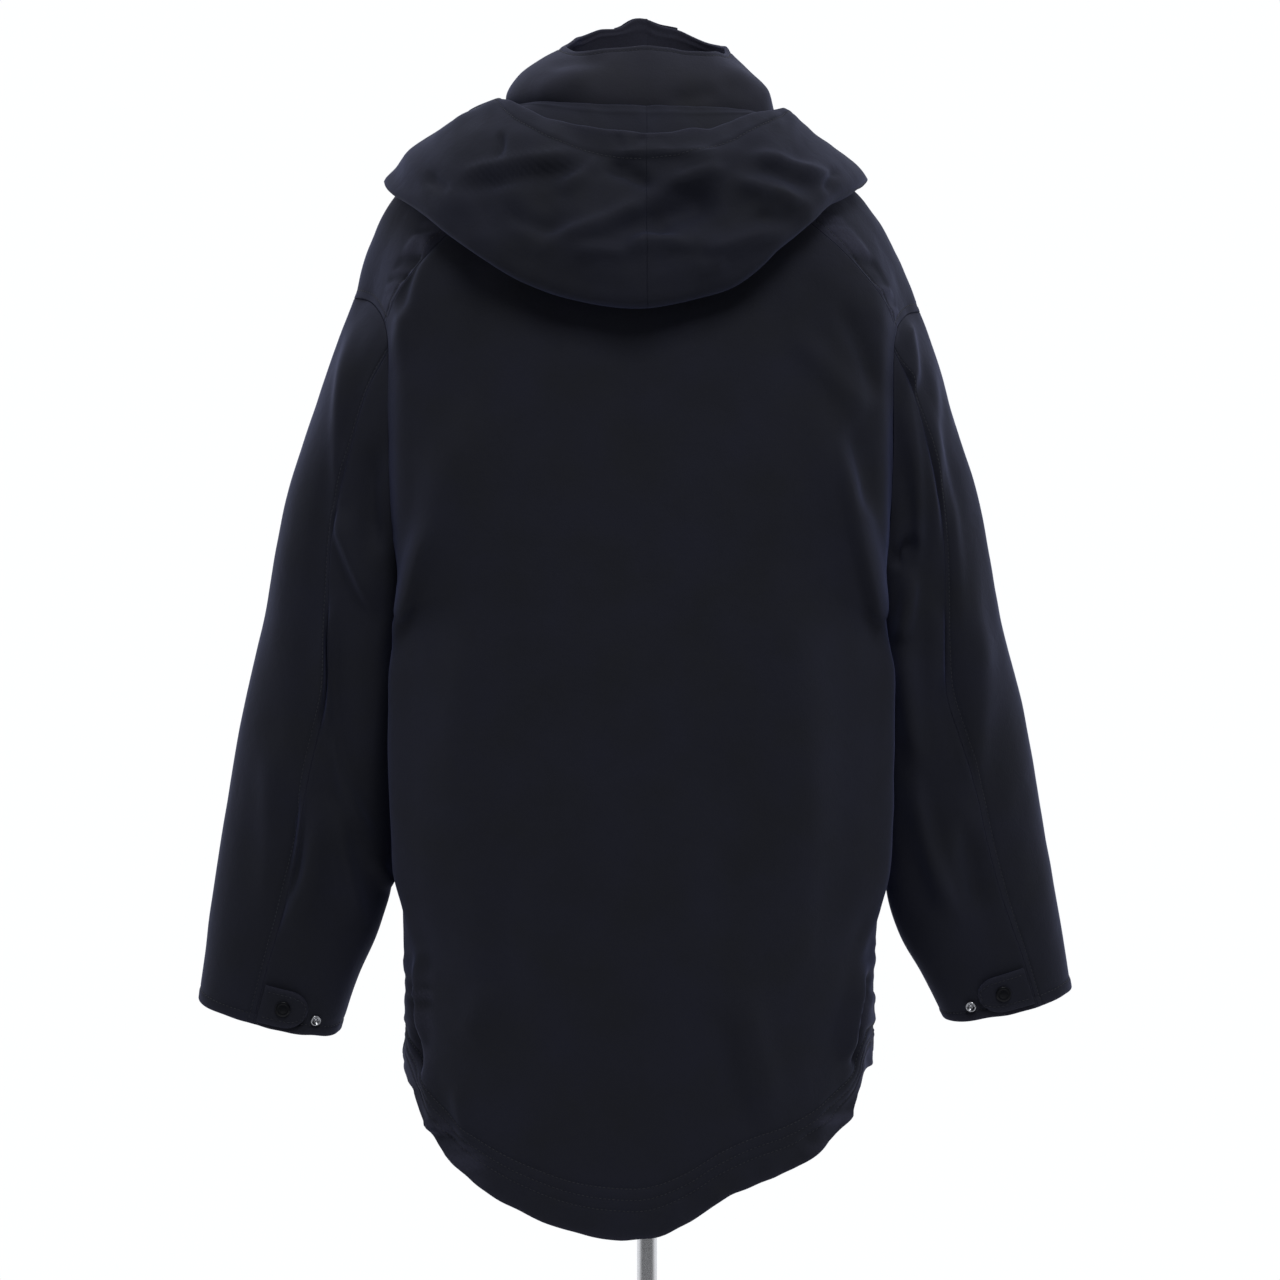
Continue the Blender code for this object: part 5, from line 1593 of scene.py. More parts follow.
@dataclass
class LyingHood:
    """A two-piece hood that lies back over the shoulders, its under layer along the jacket, a round
    outer fold, and its upper layer above, back to the rim round the collar."""

    body: Body
    turns: tuple[float, ...] = (0.0, 0.07, 0.14, 0.22, 0.30, 0.36, 0.42, 0.48, 0.54, 0.60, 0.66, 0.73,
                                0.81, 0.90, 1.0)
    row_count: int = 16
    start: float = 0.30  # share of the half neckline, from the front, with no hood
    fold_side: float = 0.44  # share of a strip at which it starts to turn up
    layers: float = 0.0145  # least height of the upper layer's outside over the jacket
    neck_share: float = 0.14  # share of a strip over which the risen neck edge comes down
    front_share: float = 0.50  # width of its front end, as a share of the solid's
    front_run: float = 0.18  # turn at which it has its full width
    rim_stand: float = 0.0080  # how much further than in the solid the rim's middle reaches
    rim_width: float = 0.1000  # half the width over which it does

    def strip(self, half: Array, out: Array, start_col: float, reach: tuple[float, float],
              puff: float, rim: float, neck: float) -> Array:
        """One strip: out along the jacket, round its fold, and back above it to the rim.

        Args:
            half: Half of the jacket's surface.
            out: Its normals.
            start_col: Share of its columns at which the strip starts.
            reach: Column share and row of the outer fold.
            puff: Loft of the upper layer.
            rim: How far from the neck the rim ends, as a share of the way out.
            neck: Rise of the neck edge.

        Returns:
            The strip's points.
        """
        s = np.linspace(0, 1, self.row_count + 1)
        bow = np.sin(np.pi * s)
        way = np.where(s < 0.5, 0.03 + 0.97 * bow ** 0.75, rim + (1 - rim) * bow ** 0.85)
        under = read(HOOD_STRIP, "stand", s) + neck * np.clip(1 - s / self.neck_share, 0, 1) ** 1.5
        over = self.layers + puff * (0.45 + 0.55 * np.sin(np.pi * np.clip(s * 2 - 1, 0, 1)) ** 0.8)
        turn_up = ease((s - self.fold_side) / (1 - 2 * self.fold_side))
        height = under * (1 - turn_up) + over * turn_up
        col = (start_col + (reach[0] - start_col) * way) * (half.shape[1] - 1)
        row = reach[1] * way
        return grid_at(half, row, col) + unit(grid_at(out, row, col)) * height[:, None]

    def half(self, side: Side) -> Array:
        """Half of the hood.

        Args:
            side: The wearer's side.

        Returns:
            Its points: columns from its front end to its centre seam, rows from neck to rim.
        """
        table_rows = LEFT_HOOD if side is Side.LEFT else RIGHT_HOOD
        middle = self.body.back.shape[1] // 2
        halves, outs, places, points = {}, {}, [], []
        rows = np.linspace(0, len(self.body.roof_rows) + 2, 60)
        for facing, grid in ((1, self.body.back), (-1, self.body.front)):
            half = grid[:, middle::-1] if side is Side.LEFT else grid[:, middle:]
            halves[facing] = half
            outs[facing] = normals_of(half, (0, facing, 0))
            row, col = np.meshgrid(rows, np.linspace(0, half.shape[1] - 1, 80), indexing="ij")
            places.append(np.stack([col.ravel() / (half.shape[1] - 1), row.ravel() * facing], axis=1))
            points.append(grid_at(half, row, col).reshape(-1, 3))
        places = np.concatenate(places)
        points = np.concatenate(points)
        neck_columns = self.body.neck_columns
        neck_share = neck_columns / (neck_columns + self.body.shoulder_columns)
        strips = []
        for turn in self.turns:
            row = Hood(turn, *(read(table_rows, name, turn) for name in Hood._fields[1:]))
            mark = np.array([side.value * row.out, row.deep, row.height])
            nearest = places[np.argmin(np.linalg.norm(points - mark, axis=1))]
            around = self.start + (2 - self.start) * turn
            facing = -1 if around < 1 else 1
            start_col = neck_share * (around if facing < 0 else 2 - around)
            share = self.front_share + (1 - self.front_share) * ease(turn / self.front_run)
            reach = (start_col + (nearest[0] - start_col) * share if turn < 1 else 0.0,
                     max(nearest[1] * facing, 0.0) * share)
            strips.append(self.strip(halves[facing], outs[facing], start_col, reach,
                                     row.puff, row.rim, row.neck))
        return np.stack(strips, axis=1)

    def surface(self) -> Array:
        """The whole hood from the wearer's left front end round the back, with its largest folds."""
        left = self.half(Side.LEFT)
        right = self.half(Side.RIGHT)
        grid = np.concatenate([left, right[:, -2::-1]], axis=1)
        out = normals_of(grid, (0, -0.3, -1))
        upper = ease((np.linspace(0, 1, self.row_count + 1) - 0.55) / 0.12)[:, None]
        back_only = ease(grid[:, :, 1] / 0.05)
        lift = fold_lift(HOOD_FOLDS, grid[:, :, 0], grid[:, :, 2]) * upper * back_only
        grid = grid + out * lift[:, :, None]
        stand = self.rim_stand * ease((self.rim_width - np.abs(grid[-1, :, 0])) / 0.040) * back_only[-1]
        way = unit(grid[-1] - grid[-2]) * stand[:, None]
        grid[-1] += way
        grid[-2] += way * 0.4
        return grid

    def panels(self) -> list[Panel]:
        """The two halves, which meet at a centre seam."""
        centre = len(self.turns) - 1
        shared = dict(control=self.surface(), facing=(0, -0.3, -1), rows=(0, self.row_count),
                      cut=(0.48, 0.35), cut_area=0.102, held=Held.DRAPED, step=0.0032, padding=0.0006,
                      rests_on=("back_yoke_cloth", "back_cloth"), rows_shared=True)
        ends = (Sewn.HOOD_NECK, Sewn.HOOD_RIM)
        return [
            HoodPanel("hood_left", cols=(0, centre),
                      edges=(*ends, Sewn.HOOD_RIM, Sewn.HOOD_CENTRE), **shared),
            HoodPanel("hood_right", cols=(centre, 2 * centre),
                      edges=(*ends, Sewn.HOOD_CENTRE, Sewn.HOOD_RIM), **shared),
        ]


# ---- Storm flap ----
@dataclass
class StormFlap:
    """The flap over the closed front, from the collar's top to the hem, with its snap caps."""

    body: Body
    collar: StandCollar
    half_width: float = 0.0290
    side_columns: int = 2
    cap_heights: tuple[float, ...] = (1.500, 1.395, 1.260, 1.125, 0.990, 0.855, 0.720)

    def __post_init__(self) -> None:
        """Lays the flap on the points of the collar's and the fronts' middle."""
        front = self.body.front
        collar = self.collar.surface
        middle = front.shape[1] // 2
        columns = []
        for out in np.linspace(-1, 1, 2 * self.side_columns + 1) * self.half_width:
            way = -1 if out > 0 else 1
            step = np.linalg.norm(front[:, middle + way] - front[:, middle], axis=1)
            row = np.arange(len(front)).astype(float)
            below = grid_at(front, row, middle + way * abs(out) / step)
            edge, beside = (collar[:, 0], collar[:, 1]) if out >= 0 else (collar[:, -1], collar[:, -2])
            share = abs(out) / np.linalg.norm(beside - edge, axis=1)
            above = edge + (beside - edge) * share[:, None]
            columns.append(np.concatenate([above[:-1], below]))
        base = np.stack(columns, axis=1)
        self.out = normals_of(base, (0, -1, 0))
        self.surface = base + self.out * FLAP_LIFT

    def panel(self) -> Panel:
        """The flap as one panel."""
        rows, cols = self.surface.shape[:2]
        return Panel("storm_flap", self.surface, (0, -1, 0), (0, rows - 1), (0, cols - 1),
                     (Sewn.FLAP_TOP, Sewn.FLAP, Sewn.FLAP, Sewn.FLAP), cut=(0.060, 0.91),
                     cut_area=0.0545, rests_on=("front_left_cloth",), wall=FLAP_CLOTH, padding=0.0004,
                     step=0.0032)

    def cap_places(self) -> list[tuple[Array, Array]]:
        """The point and normal under each snap cap, on the flap's outside."""
        height = self.surface[:, 1, 2][::-1]
        rows = len(self.surface) - 1 - np.interp(self.cap_heights, height, np.arange(len(height)))
        col = np.full(len(rows), self.side_columns - 0.9)
        points = refine(self.surface, rows, col[:1])[:, 0]
        return list(zip(points, unit(grid_at(self.out, rows, col))))


# ---- Seam allowances ----
@dataclass
class SeamAllowances:
    """Both cloths' edges, turned inside and pressed open behind each seam, so no light comes through.

    Each is a thin ribbon: two points on either side, level with the inside of the wall, and a mitre
    under the seam, at depth over the cosine of half the angle between the two sides' normals.
    """

    depth: float = CLOTH + 0.0014
    near: float = 0.0040
    wide: float = 0.0090
    thick: float = 0.0006
    finer: int = 4

    def __post_init__(self) -> None:
        """Starts with no ribbon."""
        self.points: list[Array] = []
        self.faces: list[list[int]] = []
        self.count = 0

    def add(self, first: Array, seam: Array, second: Array, facing: Array) -> None:
        """Adds the ribbon behind one seam.

        Args:
            first: The grid line beside the seam in one piece.
            seam: The grid line on the seam.
            second: The grid line beside it in the other piece.
            facing: Outward directions along the seam, or one for all of it.
        """
        lines = np.stack([first, seam, second], axis=1)
        marks = np.arange(len(seam))
        at = np.linspace(0, marks[-1], self.finer * marks[-1] + 1)
        one, line, two = np.moveaxis(cubic(lines, at), 1, 0)
        toward = sample(at, marks, np.broadcast_to(facing, seam.shape))
        way = unit(np.gradient(line, axis=0))
        sides = []
        for beside in (one, two):
            aside = unit(beside - line)
            normal = unit(np.cross(way, aside))
            sides.append((aside, normal * np.sign((normal * toward).sum(1, keepdims=True))))
        (left, left_out), (right, right_out) = sides
        middle = unit(left_out + right_out)
        lean = np.clip((middle * left_out).sum(1, keepdims=True), 0.5, 1)
        layers = [np.stack([
            line + left * self.wide - left_out * deep,
            line + left * self.near - left_out * deep,
            line - middle * deep / lean,
            line + right * self.near - right_out * deep,
            line + right * self.wide - right_out * deep,
        ], axis=1) for deep in (self.depth, self.depth + self.thick)]
        rings = np.concatenate([layers[0], layers[1][:, ::-1]], axis=1)
        number = self.count + np.arange(rings.size // 3).reshape(rings.shape[:2])
        beside = np.roll(number, -1, axis=1)
        quads = np.stack([number[:-1], beside[:-1], beside[1:], number[1:]], axis=-1).reshape(-1, 4)
        faces = quads.tolist() + [number[0, ::-1].tolist(), number[-1].tolist()]
        turn = np.cross(rings[0, 1] - rings[0, 0], rings[1, 0] - rings[0, 0])
        if np.dot(turn, left_out[0]) < 0:
            faces = [face[::-1] for face in faces]
        self.points.append(rings.reshape(-1, 3))
        self.faces += faces
        self.count += number.size

    def collect(self, body: Body, sleeves: Sequence[Sleeve]) -> None:
        """Adds the ribbons of the yoke, shoulders, sides, armholes and sleeves.

        Args:
            body: The body.
            sleeves: The left and the right sleeve.
        """
        back, front = body.back, body.front
        under = len(body.roof_rows) - 1 + body.armhole_rows
        row = body.yoke_row
        last = back.shape[1] - 1
        self.add(back[row - 1], back[row], back[row + 1], NORTH + 0.6 * UP)
        for side, sleeve in zip((0, last), sleeves):
            step = 1 if side == 0 else -1
            self.add(back[under:, side + step], back[under:, side], front[under:, side + step], step * EAST)
            top = slice(0, 3) if side == 0 else slice(last - 2, last + 1)
            self.add(back[1, top], back[0, top], front[1, top], UP)
            inner = np.concatenate([back[:under + 1, side + step], front[under - 1:0:-1, side + step]])
            inner, ring, beyond = (np.concatenate([loop, loop[:1]])
                                   for loop in (inner, sleeve.surface[0], sleeve.surface[1]))
            self.add(inner, ring, beyond, ring - ring[:-1].mean(axis=0))
            middle = sleeve.surface.mean(axis=1)
            for seam in (sleeve.back_seam, sleeve.front_seam):
                before, line, after = (sleeve.surface[:, seam + k] for k in (-1, 0, 1))
                self.add(before, line, after, line - middle)

    def build(self, finish: Material) -> bpy.types.Object:
        """Makes all ribbons as one object."""
        made = make_object("seam_allowances", np.concatenate(self.points), self.faces, finish)
        return ride_root(made, "back_panel")


# ---- Snaps and the stand ----
def turned(profile: Profile, sides: int, place: Array, axis: Array) -> tuple[Array, list]:
    """Turns a profile of (radius, height) round an axis, from a point on it to a point on it.

    Args:
        profile: Radii and heights, with radius 0 at both ends.
        sides: Steps round the axis.
        place: The axis's origin.
        axis: Its way up.

    Returns:
        Points and faces.
    """
    up = unit(np.asarray(axis, float))
    east = unit(np.cross(up, EAST if abs(up[0]) < 0.8 else NORTH))
    north = np.cross(up, east)
    angle = np.arange(sides) * 2 * math.pi / sides
    ring = np.cos(angle)[:, None] * east + np.sin(angle)[:, None] * north
    radius, height = np.array(profile[1:-1]).T[:, :, None, None]
    rings = place + up * height + ring * radius
    return capped_rings(place + up * profile[0][1], rings, place + up * profile[-1][1])


def rounded(radius: float, height: float, wide: float, high: float, turns: Array) -> Profile:
    """Part of an oval in a profile.

    Args:
        radius: Where its middle lies.
        height: Height of its middle.
        wide: Half its width.
        high: Half its height.
        turns: Angles from its outer end upwards.

    Returns:
        Radii and heights.
    """
    return [(radius + wide * math.cos(a), height + high * math.sin(a)) for a in turns]


@dataclass
class Snap:
    """A press stud's enamelled cap: a shallow dome with a rolled edge and a dished middle."""

    radius: float = 0.0065
    height: float = 0.0028
    roll: float = 0.0009  # radius of the rolled edge
    dish: float = 0.00035  # depth of the dish
    sides: int = 40

    def profile(self) -> Profile:
        """Half round at the edge, a low dome, and a shallow dish inside a narrow ring."""
        edge = np.linspace(-math.pi / 2, math.pi / 2, 9)
        rows = [(0.0, SEAM)] + rounded(self.radius - self.roll, SEAM + self.roll, self.roll, self.roll, edge)
        for share in (0.80, 0.74, 0.68, 0.62, 0.50, 0.36, 0.20, 0.08):
            dish = self.dish * ease((0.74 - share) / 0.10)
            rows.append((self.radius * share, self.height * (1 - 0.30 * share ** 2) - dish))
        return rows + [(0.0, self.height - self.dish)]

    def build(self, name: str, node: str, place: Array, out: Array, finish: Material) -> None:
        """Makes one cap on the cloth at a place."""
        points, faces = turned(self.profile(), self.sides, place, out)
        ride_root(make_object(name, points, faces, finish), node, node)


@dataclass
class Socket:
    """An open press stud socket: a bare ring with a hollow that holds two spring wires."""

    radius: float = 0.0046
    height: float = 0.0022
    roll: float = 0.0007  # radius of the rolled rim
    hole: float = 0.0026
    floor: float = SEAM + 0.0005  # height of the hollow's floor
    sides: int = 36
    wire: float = 0.0003  # a wire's radius
    wire_length: float = 0.0044
    wire_apart: float = 0.0011  # from the middle to each wire

    def build(self, name: str, node: str, place: Array, out: Array, finish: Material) -> None:
        """Makes the ring, its hollow and its two wires as one object.

        Args:
            name: The object's name.
            node: The solid that it stands for.
            place: The point on the cloth.
            out: The cloth's normal there.
            finish: Its material.
        """
        rim = rounded(self.radius - self.roll, self.height - self.roll, self.roll, self.roll,
                      np.linspace(0, math.pi, 9))
        profile = [(0.0, SEAM), (self.radius - 0.0002, SEAM), *rim, (self.hole, self.height - 0.0006),
                   (self.hole, self.floor), (0.0, self.floor)]
        points, faces = turned(profile, self.sides, place, out)
        up = unit(np.asarray(out, float))
        beside = unit(np.cross(up, UP))
        way = np.cross(up, beside)
        rod = [(0.0, 0.0), (self.wire, 0.0), (self.wire, self.wire_length), (0.0, self.wire_length)]
        for sign in (-1, 1):
            start = (place + up * (SEAM + 0.0010) + beside * sign * self.wire_apart
                     - way * self.wire_length / 2)
            wire, wire_faces = turned(rod, 8, start, way)
            faces += [[corner + len(points) for corner in face] for face in wire_faces]
            points = np.concatenate([points, wire])
        ride_root(make_object(name, points, faces, finish), node, node)


@dataclass
class DressForm:
    """A limbless torso covered in jersey, on a chrome pole in the hub of a round chrome base."""

    pole_radius: float = 0.0085
    base_radius: float = 0.1600
    base_edge: float = 0.0030
    base_thickness: float = 0.0100
    hub_radius: float = 0.0220
    hub_height: float = 0.0480
    flare_wide: float = 0.0110  # how far the hub's foot flares out, and
    flare_high: float = 0.0120  # how far up
    bore_depth: float = 0.0320
    bottom: float = 0.7600
    bottom_share: float = 0.55  # width of the flat bottom's inner ring
    cap_rise: float = 0.0080
    slack: float = 0.0012  # the round form stays this far inside its faceted solid's corners
    around: int = 96
    levels: int = 130

    def torso(self, finish: Material) -> None:
        """A stack of ovals, flat below and domed above, closed at both poles."""
        turn = np.arange(self.around) * 2 * math.pi / self.around
        top = FORM_SECTIONS[-1]
        heights = np.linspace(self.bottom, top.height, self.levels)
        wide = read(FORM_SECTIONS, "wide", heights) - self.slack
        back = read(FORM_SECTIONS, "back", heights) - self.slack
        front = -read(FORM_SECTIONS, "front", heights) - self.slack
        dome = np.linspace(0, 1, 9)[1:-1] * math.pi / 2
        heights = np.concatenate([[self.bottom], heights, top.height + self.cap_rise * np.sin(dome)])
        shrink = np.concatenate([[self.bottom_share], np.ones(len(wide)), np.cos(dome)])
        wide, back, front = (np.concatenate([row[:1], row, np.full(len(dome), row[-1])]) * shrink
                             for row in (wide, back, front))
        deep = np.where(np.sin(turn) > 0, back[:, None], front[:, None])
        rings = points_of(wide[:, None] * np.cos(turn), deep * np.sin(turn), heights[:, None])
        points, faces = capped_rings(UP * self.bottom, rings, UP * (top.height + self.cap_rise))
        made = make_object("form_cover", points, faces, finish)
        made.data.set_sharp_from_angle(angle=math.radians(50))
        ride_root(made, "form_torso", "form_torso")

    def pole_and_base(self, finish: Material) -> None:
        """The turned pole and base, with rounded rims."""
        foot = self.hub_height - self.bore_depth
        pole = [(0, foot + SEAM), (self.pole_radius, foot + SEAM), (self.pole_radius, self.bottom - SEAM),
                (0, self.bottom - SEAM)]
        bore = self.pole_radius + SEAM
        rim = rounded(self.base_radius - self.base_edge, self.base_thickness / 2, self.base_edge,
                      self.base_thickness / 2, np.linspace(-math.pi / 2, math.pi / 2, 13))
        flare = rounded(self.hub_radius + self.flare_wide, self.base_thickness + self.flare_high,
                        self.flare_wide, self.flare_high, np.linspace(-math.pi / 2, -math.pi, 9))
        base = [(0, 0), *rim, *flare, (self.hub_radius, self.hub_height - 0.002),
                (self.hub_radius - 0.0006, self.hub_height - 0.0006),
                (self.hub_radius - 0.002, self.hub_height), (bore, self.hub_height), (bore, foot), (0, foot)]
        for kind, profile, sides in (("pole", pole, 64), ("base", base, 160)):
            points, faces = turned(profile, sides, np.zeros(3), UP)
            made = make_object(f"chrome_{kind}", points, faces, finish)
            made.data.set_sharp_from_angle(angle=math.radians(40))
            ride_root(made, f"form_{kind}", f"form_{kind}")


# ---- Finishes ----
def linear(colour: str) -> tuple[float, float, float, float]:
    """Turns an sRGB hex colour to linear values with alpha 1."""
    shares = (int(colour[k:k + 2], 16) / 255 for k in (1, 3, 5))
    return (*(c / 12.92 if c <= 0.04045 else ((c + 0.055) / 1.055) ** 2.4 for c in shares), 1.0)


def set_node(node: bpy.types.Node, settings: dict, links: dict) -> bpy.types.Node:
    """Gives a node its settings and links.

    Args:
        node: The node.
        settings: Values by input name or number, or by the node's own property.
        links: Output sockets by input name or number.

    Returns:
        The node.
    """
    for name, value in settings.items():
        if isinstance(name, int) or name in node.inputs:
            node.inputs[name].default_value = value
        else:
            setattr(node, name, value)
    for name, source in links.items():
        node.id_data.links.new(source, node.inputs[name])
    return node


def add_node(tree: bpy.types.NodeTree, kind: str, settings: Optional[dict] = None,
             links: Optional[dict] = None) -> bpy.types.Node:
    """Adds one shader node, its kind named without ShaderNode, with its settings and links."""
    return set_node(tree.nodes.new(f"ShaderNode{kind}"), settings or {}, links or {})


def new_material(name: str) -> tuple[Material, bpy.types.NodeTree, bpy.types.Node, bpy.types.NodeSocket]:
    """A material, its tree, its Principled shader and its Object coordinates."""
    made = bpy.data.materials.new(name)
    made.use_nodes = True
    tree = made.node_tree
    return made, tree, tree.nodes["Principled BSDF"], add_node(tree, "TexCoord").outputs["Object"]


@dataclass(frozen=True)
class BrushedMicrofibre:
    """Tightly woven polyester microfibre with a brushed nap: matt face-on, a soft bluish bloom at a
    grazing angle, faint mottling where the nap lies another way, and paler worn edges, partly a painted
    highlight, with painted light on gathers and collar."""

    name: str = "brushed_microfibre"
    colour: str = "#191b24"
    mottle: str = "#1b1d2a"
    # Paler colour for worn edges, also used for painted highlight and painted light.
    worn_and_painted_light_colour: str = "#2c2d3c"
    roughness: float = 0.86
    specular: float = 0.30
    sheen: float = 0.44
    sheen_roughness: float = 0.45
    sheen_tint: str = "#5a6394"
    mottle_size: float = 0.060  # metres
    nap_size: float = 0.0016  # drawn coarser than the real 0.2 mm, which is too fine to show
    nap_depth: float = 0.0003
    crumple_size: float = 0.014
    crumple_depth: float = 0.0012
    bump: float = 0.35

    def make(self) -> Material:
        """Builds the material on Object coordinates."""
        made, tree, shader, place = new_material(self.name)
        mottle = add_node(tree, "TexNoise", {"Scale": 1 / self.mottle_size, "Detail": 4.0},
                          {"Vector": place})
        share = add_node(tree, "MapRange", {"From Min": 0.35, "From Max": 0.68},
                         {"Value": mottle.outputs["Fac"]})
        plain = add_node(tree, "Mix", {"data_type": "RGBA", 6: linear(self.colour),
                                       7: linear(self.mottle)}, {0: share.outputs["Result"]})
        nap = add_node(tree, "TexNoise", {"Scale": 1 / self.nap_size, "Detail": 2.0},
                       {"Vector": place})
        # Paler where the attribute says: worn edges, a painted highlight on edges and gathers, painted light
        # on the collar's top.
        wear_and_painted_light = add_node(tree, "Attribute", {"attribute_name": "wear_and_painted_light"})
        paler_share = add_node(tree, "Math", {"operation": "MULTIPLY", "use_clamp": True},
                       {0: wear_and_painted_light.outputs["Fac"], 1: nap.outputs["Fac"]})
        colour = add_node(tree, "Mix", {"data_type": "RGBA", 7: linear(self.worn_and_painted_light_colour)},
                          {0: paler_share.outputs["Value"], 6: plain.outputs[2]})
        crumple = add_node(tree, "TexNoise", {"Scale": 1 / self.crumple_size, "Detail": 3.0,
                                              "Distortion": 0.6}, {"Vector": place})
        soft = add_node(tree, "Bump", {"Strength": self.bump, "Distance": self.crumple_depth},
                        {"Height": crumple.outputs["Fac"]})
        fine = add_node(tree, "Bump", {"Strength": self.bump, "Distance": self.nap_depth},
                        {"Height": nap.outputs["Fac"], "Normal": soft.outputs["Normal"]})
        set_node(shader, {"Roughness": self.roughness, "Specular IOR Level": self.specular,
                          "Sheen Weight": self.sheen, "Sheen Roughness": self.sheen_roughness,
                          "Sheen Tint": linear(self.sheen_tint)},
                 {"Base Color": colour.outputs[2], "Normal": fine.outputs["Normal"]})
        return made


@dataclass(frozen=True)
class BandedYarn:
    """Yarn that shows as fine bands, all pressed a little into the surface."""

    name: str
    colour: str
    roughness: float
    band: float  # a sixth to a seventh of the bands' spacing, metres
    way: str  # the way in which the bands follow one another
    depth: float
    strength: float
    distortion: float = 0.0
    sheen: float = 0.0

    def make(self) -> Material:
        """Builds the material on Object coordinates; the wave turns 20 radians to its unit along X."""
        made, tree, shader, place = new_material(self.name)
        bands = add_node(tree, "TexWave", {"Scale": 1 / (self.band * 20), "bands_direction": self.way,
                                           "Distortion": self.distortion}, {"Vector": place})
        bump = add_node(tree, "Bump", {"Strength": self.strength, "Distance": self.depth},
                        {"Height": bands.outputs["Fac"]})
        set_node(shader, {"Base Color": linear(self.colour), "Roughness": self.roughness,
                          "Sheen Weight": self.sheen}, {"Normal": bump.outputs["Normal"]})
        return made


# Spun polyester sewing thread: a touch paler and smoother than the cloth, with slanted twist.
SPUN_THREAD = BandedYarn("spun_thread", "#20242e", 0.55, 0.0006, "DIAGONAL", 0.0001, 0.4)
# Cotton jersey pulled over foam: pale and dull, its upright wales drawn coarser than the real 0.9 mm,
# which is too fine to show.
COTTON_JERSEY = BandedYarn("cotton_jersey", "#d9d2c6", 0.85, 0.0020, "X", 0.0003, 0.3, 0.4, 0.15)


@dataclass(frozen=True)
class Metal:
    """A turned metal part with fine marks round it: chrome plate, bare steel or enamel over brass."""

    name: str
    colour: str
    roughness: float
    metallic: float = 1.0
    specular: float = 0.5
    mark: float = 0.0010

    def make(self) -> Material:
        """Builds the material: noise at the marks' size varies the roughness a little."""
        made, tree, shader, place = new_material(self.name)
        marks = add_node(tree, "TexNoise", {"Scale": 1 / self.mark, "Detail": 2.0},
                         {"Vector": place})
        rough = add_node(tree, "MapRange", {"To Min": self.roughness * 0.8,
                                            "To Max": self.roughness * 1.3},
                         {"Value": marks.outputs["Fac"]})
        set_node(shader, {"Base Color": linear(self.colour), "Metallic": self.metallic,
                          "Specular IOR Level": self.specular}, {"Roughness": rough.outputs["Result"]})
        return made


